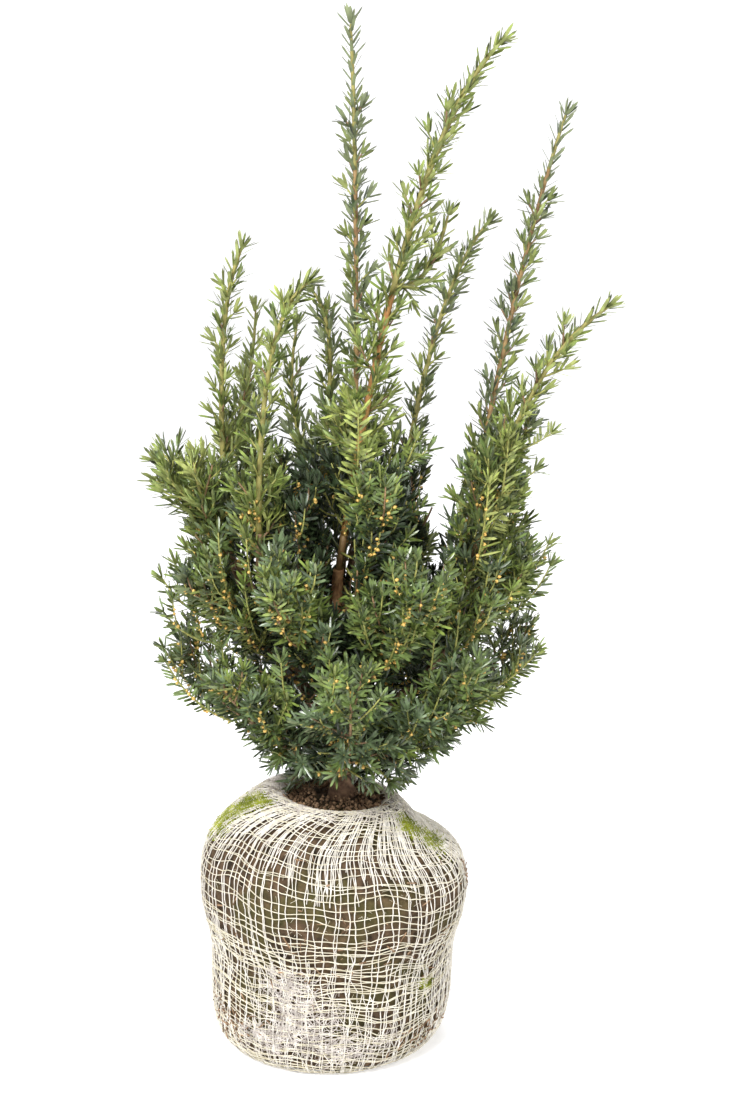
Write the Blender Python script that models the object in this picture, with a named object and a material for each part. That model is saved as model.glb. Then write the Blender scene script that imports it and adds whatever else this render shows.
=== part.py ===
"""Japanese yew: a young shrub with several tall leaders, on a root ball wrapped in netting.

Metres, +Z up. The origin lies on the root ball's flat underside, -Y is the front and +X the right.
Every limb, stem and twig is a curve from its foot, drawn towards a bend, to its tip.
"""
import math
import random
from dataclasses import dataclass, field
from itertools import combinations, product

import bmesh
import bpy
import numpy as np
from mathutils import Quaternion, Vector

# Gap left between pieces that touch on the real plant.
SEAT_GAP = 0.0003

# Root ball: radius and height of its outline, from the soil inside the netting's neck to the flat underside.
BALL_OUTLINE = (
    (0.019, 0.2060), (0.036, 0.2045), (0.046, 0.2090), (0.056, 0.2085), (0.071, 0.1995), (0.088, 0.1850),
    (0.102, 0.1680), (0.1075, 0.1480), (0.1055, 0.1200), (0.0985, 0.0900), (0.0975, 0.0600), (0.0970, 0.0350),
    (0.0935, 0.0150), (0.0865, 0.0045), (0.0785, 0.0000),
)
BALL_SIDES = 26
BALL_SHOULDER_TILT = 0.075
BALL_TILT_FROM = 0.10
BALL_NECK_WIDENS = 0.03

# The shoulder sinks on one side: by how much, towards which bearing, at which radius and over what width.
BALL_SINKS = 0.016
BALL_SINKS_TOWARDS = math.radians(24)
BALL_SINKS_AT = 0.078
BALL_SINKS_WITHIN = 0.022

# The underside lies this far to the left and back of the shoulder, which it meets at a height.
BALL_LEAN = (-0.0055, 0.0090)
BALL_LEAN_TO = 0.14

# The ball's lumps: their share of the radius, then each wave's strength, turns round the ball, start and climb.
BALL_LUMP = 0.016
BALL_WAVES = ((1.00, 2, 0.5, 9), (0.70, 3, -1.3, -14), (0.45, 5, -1.57, 30), (0.25, 9, 0.0, -42))
SOIL_TOP = 0.2060

# Trunk: from its flat cut on the soil, over the root flare, to the fork where the main leader begins.
TRUNK_FOOT = (0.006, 0.003, SOIL_TOP + SEAT_GAP)
TRUNK_BEND = (-0.005, 0.001, 0.3000)
TRUNK_TIP = (0.004, -0.012, 0.3980)
TRUNK_TIP_FACING = (Vector(TRUNK_TIP) - Vector(TRUNK_BEND)).normalized()
TRUNK_RADII = ((0.0, 0.0125), (0.05, 0.0098), (0.13, 0.0080), (0.45, 0.0062), (1.0, 0.0042))
TRUNK_STEPS = 12
TRUNK_SIDES = 10

# Boughs: one tapering limb from the trunk to the foot of each outer leader.
BOUGH_FOOT_RADIUS = 0.0036
BOUGH_TIP_RADIUS = 0.0022
BOUGH_STEPS = 5
BOUGH_SIDES = 6
BOUGH_LEAD_IN = 0.045

# Crown: half widths, and how far out of the middle its foliage reaches at each height, as a share of them.
CROWN_MIDDLE = (0.014, 0.0)
CROWN_HALF_WIDTHS = (0.158, 0.147)
CROWN_REACH = (
    (0.207, 0.26), (0.222, 0.40), (0.270, 0.63), (0.300, 0.85), (0.335, 0.99), (0.415, 1.02), (0.470, 0.86),
    (0.500, 0.80),
)
CROWN_TOP = 0.500

# Stems and twigs: slim three-sided cores that needles stand out of, on two sides of each joint.
GOLDEN_ANGLE = math.radians(137.5)
STEM_SIDES = 3
STEM_TWIST = math.radians(25)
STEM_TIP_RADIUS = 0.0017
TWIG_RADII = (0.0024, 0.0017)
TIP_NEEDLE_SHARE = 0.6
NEEDLE_CLOSES_UP = 0.35
NEEDLE_SHORTENS = 0.22
NEEDLE_ANGLE_CHANCE = (0.88, 1.12)
NEEDLE_LENGTH_CHANCE = (0.88, 1.08)
FIRST_TWIG_NEEDLE = 0.20
FIRST_FORK_NEEDLE = 0.15

# Twigs: where they bend and how far they sag there, how clear they stay of other masses and of limbs,
# how often one that has no room is tried again, and how much shorter each time.
TWIG_BEND = 0.55
TWIG_SAG = 0.08
TWIG_TURN_CHANCE = (0.0, 0.6)
TWIG_LENGTH_CHANCE = (0.88, 1.10)
TWIG_MARGINS = (0.0020, 0.0030)
TWIG_TRIES = 5
TWIG_SHORTENING = 0.8

# Cores: rings and sides, where along a spindle's swell they begin and end, the least radius, the steps in
# which they swell from it while there is room, and how clear they stay of other masses and of limbs.
CORE_RINGS = 6
CORE_SIDES = 6
CORE_SWELL = (0.12, 0.90)
CORE_LEAST = 0.0028
CORE_STEP = 0.0012
CORE_MARGINS = (0.0010, 0.0015)

# How far a needle stays inside its own mass's space, and off every limb.
SPACE_MARGIN = 0.0005
LIMB_MARGIN = 0.0010
SKELETON_STEP = 0.004
MEASURING_STEPS = 20
LOWEST_FOLIAGE = SOIL_TOP + 0.004

# Joining: twice the area of the smallest triangle made, and how often a mass may be grown again.
SMALLEST_AREA = 1e-12
GROWTH_TRIES = 6
SHARP_EDGE = math.radians(50)

BARK = ("bark", (0.150, 0.070, 0.038), 0.85)
OLD_NEEDLES = ("old_needles", (0.030, 0.075, 0.032), 0.55)
YOUNG_NEEDLES = ("young_needles", (0.105, 0.185, 0.035), 0.50)
NETTED_SOIL = ("netted_soil", (0.330, 0.290, 0.215), 0.95)


@dataclass
class Shoot:
    """One mass of foliage: its stem's curve, forks that leave it, and the twigs and needles it carries."""

    name: str
    foot: tuple
    bend: tuple
    tip: tuple
    bough_height: float = 0.0
    forks: tuple = ()
    foot_radius: float = BOUGH_TIP_RADIUS
    twigs: int = 5
    twig_lengths: tuple = (0.040, 0.020)
    twig_stretch: tuple = (0.06, 0.62)
    twig_angle: float = 48.0
    joint_length: float = 0.0105
    needle_length: float = 0.0215
    needle_angle: float = 47.0
    first_needle: float = 0.03
    core_radius: float = 0.0
    core_stretch: tuple = (0.03, 0.40)
    dense: bool = False
    facing: Vector = None
    material: tuple = OLD_NEEDLES
    stems: list = field(default_factory=list)


# Leaders: foot, bend and tip of each stem. A fork is its place on the stem, then its own bend and tip.
MAIN_LEADER = Shoot(
    "main_leader", Vector(TRUNK_TIP) + TRUNK_TIP_FACING * SEAT_GAP, (0.053, -0.050, 0.730),
    (0.1225, -0.052, 0.795), facing=TRUNK_TIP_FACING, foot_radius=0.0040,
    forks=((0.40, (0.072, -0.012, 0.610), (0.087, -0.014, 0.671)),),
    twigs=9, twig_lengths=(0.058, 0.020), twig_stretch=(0.03, 0.56), material=YOUNG_NEEDLES,
)
LEADERS = (
    Shoot(
        "left_leader", (-0.084, 0.017, 0.412), (-0.098, 0.030, 0.590), (-0.071, 0.026, 0.645),
        bough_height=0.262, forks=((0.22, (-0.066, 0.052, 0.520), (-0.063, 0.060, 0.594)),),
        core_radius=0.011,
    ),
    Shoot(
        "front_arching_leader", (-0.056, -0.052, 0.405), (-0.058, -0.058, 0.600), (-0.017, -0.060, 0.624),
        bough_height=0.306, material=YOUNG_NEEDLES, core_radius=0.010,
    ),
    Shoot(
        "back_arching_leader", (-0.018, 0.052, 0.420), (0.010, 0.052, 0.580), (-0.0165, 0.050, 0.609),
        bough_height=0.325, forks=((0.12, (-0.046, 0.092, 0.500), (-0.031, 0.090, 0.580)),),
        core_radius=0.011,
    ),
    Shoot(
        "tallest_leader", (0.016, 0.040, 0.425), (0.020, 0.042, 0.680), (0.0135, 0.044, 0.814),
        bough_height=0.352, twigs=7, twig_lengths=(0.044, 0.018), twig_stretch=(0.03, 0.68),
    ),
    Shoot(
        "right_back_leader", (0.052, 0.058, 0.432), (0.080, 0.076, 0.615), (0.123, 0.080, 0.662),
        bough_height=0.333, core_radius=0.010,
    ),
    Shoot(
        "tall_right_leader", (0.101, 0.019, 0.385), (0.137, 0.040, 0.610), (0.181, 0.056, 0.746),
        bough_height=0.318, forks=((0.16, (0.132, 0.010, 0.460), (0.134, 0.004, 0.520)),),
        twigs=6, twig_lengths=(0.034, 0.018), core_radius=0.013, core_stretch=(0.03, 0.26),
    ),
    Shoot(
        "right_arching_leader", (0.100, -0.020, 0.362), (0.131, -0.048, 0.560), (0.203, -0.056, 0.605),
        bough_height=0.258, twigs=6, twig_lengths=(0.040, 0.018),
        material=YOUNG_NEEDLES, core_radius=0.012, core_stretch=(0.03, 0.30),
    ),
    Shoot(
        "left_low_leader", (-0.070, -0.010, 0.392), (-0.104, -0.014, 0.448), (-0.137, -0.010, 0.484),
        bough_height=0.282, forks=((0.25, (-0.098, -0.040, 0.440), (-0.106, -0.038, 0.488)),),
        twigs=4, core_radius=0.011,
    ),
    Shoot(
        "back_left_leader", (-0.062, 0.066, 0.385), (-0.078, 0.090, 0.450), (-0.074, 0.098, 0.535),
        bough_height=0.246, core_radius=0.013,
    ),
    Shoot(
        "back_leader", (0.006, 0.094, 0.375), (0.010, 0.118, 0.450), (0.018, 0.126, 0.545),
        bough_height=0.280, core_radius=0.013,
    ),
)


@dataclass
class Tier:
    """A ring of dense masses round the trunk. Heights are world heights, reaches are shares of the crown."""

    name: str
    count: int
    first_angle: float
    angle_between: float
    trunk_heights: tuple
    bend_reach: float
    bend_height: float
    tip_reach: float
    tip_height: float
    core_radius: float


TIERS = (
    Tier("skirt", 8, 0.0, 45.0, (0.2230, 0.2370), 0.46, 0.2500, 0.86, 0.3220, 0.023),
    Tier("waist", 8, 22.5, 45.0, (0.2960, 0.3120), 0.42, 0.3300, 0.86, 0.3950, 0.026),
    Tier("collar", 4, 150.0, 70.0, (0.3560, 0.3680), 0.24, 0.3850, 0.40, 0.4450, 0.019),
)


def limited(value):
    """A share kept within 0 and 1."""
    return min(max(value, 0.0), 1.0)


def between(table, place):
    """Read a value at a place from a table of (place, value) pairs, in straight steps."""
    for (low, first), (high, second) in zip(table, table[1:]):
        if place <= high:
            return first + (second - first) * limited((place - low) / (high - low))
    return table[-1][1]


def curve(foot, bend, tip, steps):
    """Points of a limb that leaves its foot towards the bend and arrives at its tip from there."""
    foot, bend, tip = Vector(foot), Vector(bend), Vector(tip)
    points = []
    for step in range(steps + 1):
        t = step / steps
        points.append(foot * (1 - t) ** 2 + bend * 2 * t * (1 - t) + tip * t ** 2)
    return points


def along(points, share):
    """The point and direction at a share of the way along a line of evenly numbered points."""
    place = limited(share) * (len(points) - 1)
    index = min(int(place), len(points) - 2)
    start, end = points[index], points[index + 1]
    return start.lerp(end, place - index), (end - start).normalized()


def tapered(first, last, count):
    """Evenly spaced values from the first to the last."""
    return [first + (last - first) * index / (count - 1) for index in range(count)]


def length_of(points):
    return sum((b - a).length for a, b in zip(points, points[1:]))


def tilted(direction, angle, turn):
    """A direction that leans away from another by an angle, turned about it from one fixed side."""
    side = direction.orthogonal().normalized()
    across = direction.cross(side)
    outward = side * math.cos(turn) + across * math.sin(turn)
    return direction * math.cos(angle) + outward * math.sin(angle)


def tube(points, radii, sides, facing=None, twist=0.0):
    """A closed tapering tube: its side faces joint by joint, then its two caps.

    With facing, the first cap lies square to that direction. Twist turns each ring against the last.
    """
    vertices, faces = [], []
    side = (points[1] - points[0]).orthogonal().normalized()
    for index, (point, radius) in enumerate(zip(points, radii)):
        before, after = points[max(index - 1, 0)], points[min(index + 1, len(points) - 1)]
        tangent = (after - before).normalized()
        side = (side - tangent * side.dot(tangent)).normalized()
        across = tangent.cross(side)
        for corner in range(sides):
            turn = 2 * math.pi * corner / sides + twist * index
            offset = (side * math.cos(turn) + across * math.sin(turn)) * radius
            if index == 0 and facing is not None:
                offset -= tangent * (offset.dot(facing) / tangent.dot(facing))
            vertices.append(point + offset)
    rings = len(points)
    for ring in range(rings - 1):
        for corner in range(sides):
            following = (corner + 1) % sides
            low, high = ring * sides, (ring + 1) * sides
            faces.append((low + corner, low + following, high + following, high + corner))
    faces.append(tuple(reversed(range(sides))))
    faces.append(tuple((rings - 1) * sides + corner for corner in range(sides)))
    return vertices, faces


def needled_stem(points, radii, mass, space, chance, first_needle=0.0, facing=None):
    """A slim core with two sides of every joint drawn out into needles, and its end into a last one."""
    vertices, faces = tube(points, radii, STEM_SIDES, facing, STEM_TWIST)
    joints = len(points) - 1
    drawn = []
    for index, face in enumerate(faces[:-2]):
        joint, side = divmod(index, STEM_SIDES)
        share = joint / joints
        apex = None
        if (joint + side) % STEM_SIDES and share >= first_needle:
            apex = needle_tip([vertices[corner] for corner in face], points[joint:joint + 2], share, mass, chance)
        drawn += with_needle(vertices, face, apex, mass, space)
    end = points[-1] + (points[-1] - points[-2]).normalized() * mass.needle_length * TIP_NEEDLE_SHARE
    drawn += with_needle(vertices, faces[-1], end, mass, space)
    return vertices, drawn + [faces[-2]]


def needle_tip(corners, run, share, mass, chance):
    """Where the needle that stands on one side of a joint ends. Needles close up towards a shoot's end."""
    middle = sum(corners, Vector()) / len(corners)
    tangent = (run[1] - run[0]).normalized()
    outward = middle - (run[0] + run[1]) / 2
    outward = (outward - tangent * outward.dot(tangent)).normalized()
    angle = math.radians(mass.needle_angle) * (1 - NEEDLE_CLOSES_UP * share)
    angle *= chance.uniform(*NEEDLE_ANGLE_CHANCE)
    length = mass.needle_length * (1 - NEEDLE_SHORTENS * share) * chance.uniform(*NEEDLE_LENGTH_CHANCE)
    return middle + (tangent * math.cos(angle) + outward * math.sin(angle)) * length


def with_needle(vertices, face, apex, mass, space):
    """The faces of a needle drawn out of a face, or the face as it was where the needle has no room."""
    if apex is None:
        return [face]
    middle = sum((vertices[corner] for corner in face), Vector()) / len(face)
    if not space.belongs(mass, [middle.lerp(apex, 0.6), apex]):
        return [face]
    vertices.append(apex)
    tip = len(vertices) - 1
    return [(corner, following, tip) for corner, following in zip(face, (*face[1:], face[0]))]


def trunk_points():
    return curve(TRUNK_FOOT, TRUNK_BEND, TRUNK_TIP, TRUNK_STEPS)


def trunk_radius(share):
    return between(TRUNK_RADII, share)


def off_the_trunk(height, towards):
    """Where a limb leaves the trunk at a height: a point just clear of the bark, and the way it faces."""
    points = trunk_points()
    index = max(i for i, point in enumerate(points[:-1]) if point.z <= height)
    low, high = points[index], points[index + 1]
    share = (height - low.z) / (high.z - low.z)
    axis, upward = low.lerp(high, share), (high - low).normalized()
    facing = Vector((towards[0] - axis.x, towards[1] - axis.y, 0.0))
    facing = (facing - upward * facing.dot(upward)).normalized()
    return axis + facing * (trunk_radius((index + share) / TRUNK_STEPS) + SEAT_GAP), facing


def bough_points(leader):
    """A bough's curve from the trunk to just short of its leader's foot, in line with the leader's stem."""
    start, facing = off_the_trunk(leader.bough_height, leader.foot)
    foot, bend = Vector(leader.foot), Vector(leader.bend)
    onward = (bend - foot).normalized()
    end = foot - onward * SEAT_GAP
    return curve(start, end - onward * BOUGH_LEAD_IN, end, BOUGH_STEPS), facing


def crown_point(angle, reach, height):
    """A point at a bearing and a share of the crown's reach."""
    x = CROWN_MIDDLE[0] + CROWN_HALF_WIDTHS[0] * reach * math.cos(angle)
    y = CROWN_MIDDLE[1] + CROWN_HALF_WIDTHS[1] * reach * math.sin(angle)
    return x, y, height


def inside_crown(point):
    across = (point.x - CROWN_MIDDLE[0]) / CROWN_HALF_WIDTHS[0]
    deep = (point.y - CROWN_MIDDLE[1]) / CROWN_HALF_WIDTHS[1]
    reach = math.hypot(across, deep)
    return point.z < CROWN_TOP and reach < between(CROWN_REACH, point.z)


def tier_masses():
    """The dense masses of every ring, each with a stem that starts on the trunk."""
    masses = []
    for tier in TIERS:
        for index in range(tier.count):
            angle = math.radians(tier.first_angle + tier.angle_between * index)
            height = tier.trunk_heights[index % len(tier.trunk_heights)]
            bend = crown_point(angle, tier.bend_reach, tier.bend_height)
            tip = crown_point(angle, tier.tip_reach, tier.tip_height)
            foot, facing = off_the_trunk(height, bend)
            masses.append(Shoot(
                f"{tier.name}_{index + 1}", foot, bend, tip, facing=facing, foot_radius=0.0020, dense=True,
                twigs=6, twig_lengths=(0.044, 0.030), twig_stretch=(0.30, 0.95), twig_angle=58.0,
                joint_length=0.0109, needle_length=0.0225, first_needle=0.55, core_radius=tier.core_radius,
                core_stretch=(0.17, 0.88),
            ))
    return masses


def lay_out_stems(mass):
    """Fill in the points of a mass's stem and of its forks, one for each joint that bears needles."""
    mass.stems = []
    ends = [(mass.foot, mass.bend, mass.tip)]
    for share, bend, tip in mass.forks:
        leaves_at = along(curve(mass.foot, mass.bend, mass.tip, MEASURING_STEPS), share)[0]
        ends.append((leaves_at, bend, tip))
    for foot, bend, tip in ends:
        joints = round(length_of(curve(foot, bend, tip, MEASURING_STEPS)) / mass.joint_length)
        mass.stems.append(curve(foot, bend, tip, joints))


def closely_spaced(points):
    """Shares of the way along a line, a few millimetres apart."""
    count = max(2, round(length_of(points) / SKELETON_STEP))
    return [index / count for index in range(count + 1)]


class Space:
    """Tells which mass a place belongs to: the one whose stem is nearest, clear of every limb."""

    def __init__(self, masses, limbs):
        places, owners, limb_places, limb_radii = [], [], [], []
        for mass in masses:
            for stem in mass.stems:
                for share in closely_spaced(stem):
                    places.append(along(stem, share)[0])
                    owners.append(mass.name)
        for points, radii in limbs:
            for share in closely_spaced(points):
                limb_places.append(along(points, share)[0])
                limb_radii.append(radii[round(share * (len(points) - 1))])
        self.places, self.owners = np.array(places), np.array(owners)
        self.limb_places, self.limb_radii = np.array(limb_places), np.array(limb_radii)

    def belongs(self, mass, points, margin=SPACE_MARGIN, limb_margin=LIMB_MARGIN):
        """Whether all the points lie in a mass's own space, by a margin to its neighbours and to limbs."""
        if mass.dense and not all(inside_crown(point) for point in points):
            return False
        points = np.array([tuple(point) for point in points])
        apart = np.linalg.norm(points[:, None] - self.places[None], axis=2)
        mine = self.owners == mass.name
        own, others = apart[:, mine].min(axis=1), apart[:, ~mine].min(axis=1)
        limbs = np.linalg.norm(points[:, None] - self.limb_places[None], axis=2) - self.limb_radii
        clear = (others > own + 2 * margin).all() and limbs.min() > limb_margin
        return bool(clear and points[:, 2].min() > LOWEST_FOLIAGE)


def core_piece(mass, space):
    """A fat spindle about the stem that stands for the shaded inside of a mass, as far as it has room."""
    stem = mass.stems[0]
    shares = tapered(*mass.core_stretch, CORE_RINGS)
    swell = tapered(*CORE_SWELL, CORE_RINGS)
    centres = [along(stem, share)[0] for share in shares]
    vertices, faces = tube(centres, [1.0] * CORE_RINGS, CORE_SIDES)
    for index, vertex in enumerate(vertices):
        ring = index // CORE_SIDES
        outward = vertex - centres[ring]
        direction = along(stem, shares[ring])[1]
        slide = direction * (centres[1] - centres[0]).length / 2
        fullest = mass.core_radius * math.sin(math.pi * swell[ring])
        sectors = [Quaternion(direction, turn * math.pi / CORE_SIDES) @ outward for turn in (-1, -0.5, 0, 0.5, 1)]
        radius = CORE_LEAST
        while radius + CORE_STEP < fullest:
            wider = radius + CORE_STEP
            reached = [centres[ring] + slide * step + aim * wider for step, aim in product((-1, 0, 1), sectors)]
            if not space.belongs(mass, reached, *CORE_MARGINS):
                break
            radius = wider
        vertices[index] = centres[ring] + outward * radius
    return vertices, faces


def twigs_on(mass, space, chance):
    """Side twigs wound round the stem by the golden angle, shortened where they would leave their space."""
    pieces = []
    stem = mass.stems[0]
    first, last = mass.twig_stretch
    long, short = mass.twig_lengths
    for index in range(mass.twigs):
        part = (index + 0.5) / mass.twigs
        root, direction = along(stem, first + (last - first) * part)
        turn = index * GOLDEN_ANGLE + chance.uniform(*TWIG_TURN_CHANCE)
        aim = tilted(direction, math.radians(mass.twig_angle), turn)
        reach = (long + (short - long) * part) * chance.uniform(*TWIG_LENGTH_CHANCE)
        for _ in range(TWIG_TRIES):
            bend = root + aim * reach * TWIG_BEND - Vector((0, 0, TWIG_SAG * reach))
            joints = max(2, round(reach / mass.joint_length))
            points = curve(root, bend, root + aim * reach, joints)
            if space.belongs(mass, points[1:], *TWIG_MARGINS):
                radii = tapered(*TWIG_RADII, len(points))
                pieces.append(needled_stem(points, radii, mass, space, chance, FIRST_TWIG_NEEDLE))
                break
            reach *= TWIG_SHORTENING
    return pieces


def foliage_pieces(mass, space, chance):
    """The stem first, then every fork, core and twig of one mass."""
    main = mass.stems[0]
    radii = tapered(mass.foot_radius, STEM_TIP_RADIUS, len(main))
    pieces = [needled_stem(main, radii, mass, space, chance, mass.first_needle, mass.facing)]
    for fork in mass.stems[1:]:
        radii = tapered(TWIG_RADII[0], STEM_TIP_RADIUS, len(fork))
        pieces.append(needled_stem(fork, radii, mass, space, chance, FIRST_FORK_NEEDLE))
    if mass.core_radius:
        pieces.append(core_piece(mass, space))
    return pieces + twigs_on(mass, space, chance)


def material(kind):
    name, colour, roughness = kind
    found = bpy.data.materials.get(name)
    if found is None:
        found = bpy.data.materials.new(name)
        found.use_nodes = True
        shader = found.node_tree.nodes["Principled BSDF"]
        shader.inputs["Base Color"].default_value = (*colour, 1.0)
        shader.inputs["Roughness"].default_value = roughness
        shader.inputs["Metallic"].default_value = 0.0
    return found


def add_object(name, piece, kind, collection=None, smooth=False):
    vertices, faces = piece
    mesh = bpy.data.meshes.new(name)
    mesh.from_pydata([tuple(v) for v in vertices], [], faces)
    mesh.update()
    built = bpy.data.objects.new(name, mesh)
    mesh.materials.append(material(kind))
    (collection or bpy.context.scene.collection).objects.link(built)
    if smooth:
        mesh.shade_smooth()
        mesh.set_sharp_from_angle(angle=SHARP_EDGE)
    return built


def bodies_of(work):
    """The vertices of each separate body of a mesh."""
    unseen = set(work.verts)
    bodies = []
    while unseen:
        stack = [unseen.pop()]
        body = set(stack)
        while stack:
            for edge in stack.pop().link_edges:
                other = [vertex for vertex in edge.verts if vertex in unseen]
                unseen.difference_update(other)
                body.update(other)
                stack.extend(other)
        bodies.append(body)
    return bodies


def keep_largest_body(work):
    """Drop loose scraps, and the walls of sealed hollows, which fills them."""
    bodies = bodies_of(work)
    biggest = max(bodies, key=len)
    spare = [vertex for body in bodies if body is not biggest for vertex in body]
    bmesh.ops.delete(work, geom=spare, context="VERTS")


def turn_cut(work, cut, one, other):
    """Turn the cut between two triangles of one flat face to its other two corners, where that is possible."""
    loop = next(loop for loop in one.loops if loop.edge == cut)
    a, b, c = loop.vert, loop.link_loop_next.vert, loop.link_loop_prev.vert
    d = next(vertex for vertex in other.verts if vertex not in cut.verts)
    upright = ((d.co - a.co).cross(b.co - a.co) + (b.co - a.co).cross(c.co - a.co)).normalized()
    low = (d.co - a.co).cross(c.co - a.co).dot(upright)
    high = (b.co - d.co).cross(c.co - d.co).dot(upright)
    if min(low, high) < SMALLEST_AREA or work.edges.get((c, d)):
        return False
    for corners in ((a, d, c), (d, b, c)):
        work.faces.new(corners, one)
    work.faces.remove(one)
    work.faces.remove(other)
    return True


def part_coinciding_cuts(work, origin):
    """Where the cuts of two flat faces run between the same two corners, turn one of them."""
    for cut in [edge for edge in work.edges if len(edge.link_faces) > 2]:
        for one, other in combinations(cut.link_faces, 2):
            if one[origin] == other[origin] and turn_cut(work, cut, one, other):
                break


def made_of_triangles(mesh):
    """Cut a fused mesh into triangles. Tells whether a way was found in which no two cuts coincide."""
    for ways in product(("BEAUTY", "LONG_EDGE"), ("BEAUTY", "EAR_CLIP")):
        work = bmesh.new()
        work.from_mesh(mesh)
        keep_largest_body(work)
        origin = work.faces.layers.int.new("origin")
        for number, face in enumerate(work.faces):
            face[origin] = number
        bmesh.ops.triangulate(work, faces=work.faces, quad_method=ways[0], ngon_method=ways[1])
        part_coinciding_cuts(work, origin)
        closed = all(edge.is_manifold for edge in work.edges)
        if closed:
            work.to_mesh(mesh)
        work.free()
        if closed:
            return True
    return False


def fuse(name, pieces, kind):
    """Join a stem and everything on it into one closed solid. Tells whether it came out sound."""
    for solver in ("EXACT", "MANIFOLD"):
        base = add_object(name, pieces[0], kind)
        loose = bpy.data.collections.new(name + "_loose")
        bpy.context.scene.collection.children.link(loose)
        for index, piece in enumerate(pieces[1:]):
            add_object(f"{name}_loose_{index}", piece, kind, loose)
        union = base.modifiers.new("join", "BOOLEAN")
        union.operation = "UNION"
        union.operand_type = "COLLECTION"
        union.collection = loose
        union.solver = solver
        with bpy.context.temp_override(object=base, active_object=base):
            bpy.ops.object.modifier_apply(modifier=union.name)
        for spare in list(loose.objects):
            bpy.data.objects.remove(spare)
        bpy.data.collections.remove(loose)
        if made_of_triangles(base.data):
            return True
        bpy.data.objects.remove(base)
    return False


def grow_mass(mass, space):
    """Grow a mass and fuse it. One that can't be joined is grown again from another seed."""
    for seed in range(GROWTH_TRIES):
        pieces = foliage_pieces(mass, space, random.Random(f"{mass.name} {seed}"))
        if fuse(mass.name + "_foliage", pieces, mass.material):
            return
    raise RuntimeError(mass.name + " can't be joined into one closed solid")


def ball_point(radius, height, angle):
    """A point of the root ball's outline, with its lumps, its lean and the right of its shoulder sunk."""
    rising = limited((height - BALL_TILT_FROM) / (SOIL_TOP - BALL_TILT_FROM))
    off_the_neck = limited((radius - BALL_OUTLINE[0][0]) / BALL_NECK_WIDENS)
    bulging = math.sin(math.pi * limited(height / SOIL_TOP))
    lump = sum(strength * math.cos(turns * angle + start + climb * height)
               for strength, turns, start, climb in BALL_WAVES)
    swollen = radius * (1 + BALL_LUMP * lump * bulging)
    x, y = swollen * math.cos(angle), swollen * math.sin(angle)
    sinking = max(math.cos(angle - BALL_SINKS_TOWARDS), 0.0)
    sinking *= math.exp(-((radius - BALL_SINKS_AT) / BALL_SINKS_WITHIN) ** 2)
    drop = (BALL_SHOULDER_TILT * x + BALL_SINKS * sinking) * rising * off_the_neck
    leaning = limited(1 - height / BALL_LEAN_TO)
    return Vector((x + BALL_LEAN[0] * leaning, y + BALL_LEAN[1] * leaning, height - drop))


def build_root_ball():
    vertices, faces = [], []
    for radius, height in BALL_OUTLINE:
        for corner in range(BALL_SIDES):
            vertices.append(ball_point(radius, height, 2 * math.pi * corner / BALL_SIDES))
    rings = len(BALL_OUTLINE)
    for ring in range(rings - 1):
        for corner in range(BALL_SIDES):
            following = (corner + 1) % BALL_SIDES
            high, low = ring * BALL_SIDES, (ring + 1) * BALL_SIDES
            faces.append((high + corner, low + corner, low + following, high + following))
    faces.append(tuple(range(BALL_SIDES)))
    faces.append(tuple(reversed([(rings - 1) * BALL_SIDES + corner for corner in range(BALL_SIDES)])))
    return add_object("root_ball", (vertices, faces), NETTED_SOIL, smooth=True)


def build_trunk():
    """The trunk, cut level where it stands on the soil."""
    points = trunk_points()
    radii = [trunk_radius(share) for share in tapered(0.0, 1.0, len(points))]
    add_object("trunk", tube(points, radii, TRUNK_SIDES, Vector((0, 0, 1))), BARK, smooth=True)
    return points, radii


def build_bough(leader):
    points, facing = bough_points(leader)
    radii = tapered(BOUGH_FOOT_RADIUS, BOUGH_TIP_RADIUS, len(points))
    name = "bough_" + leader.name.replace("_leader", "")
    add_object(name, tube(points, radii, BOUGH_SIDES, facing), BARK, smooth=True)
    return points, radii


def build():
    for old in list(bpy.data.objects):
        bpy.data.objects.remove(old)
    build_root_ball()
    limbs = [build_trunk()]
    limbs += [build_bough(leader) for leader in LEADERS]
    masses = [MAIN_LEADER, *LEADERS, *tier_masses()]
    for mass in masses:
        lay_out_stems(mass)
    space = Space(masses, limbs)
    for mass in masses:
        grow_mass(mass, space)


build()
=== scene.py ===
"""Looks of the japanese yew: bark, twigs, needles and buds on its limbs, and a root ball of soil in netting.

Metres, +Z up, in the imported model's frame: the origin lies on the root ball's underside, -Y is the front. Limbs and stems repeat the solids' own curves. The twigs follow the same rule, carried to finer ones.
"""
import math
import random
from dataclasses import dataclass, field

import bpy
import numpy as np
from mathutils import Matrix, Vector, noise


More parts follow.
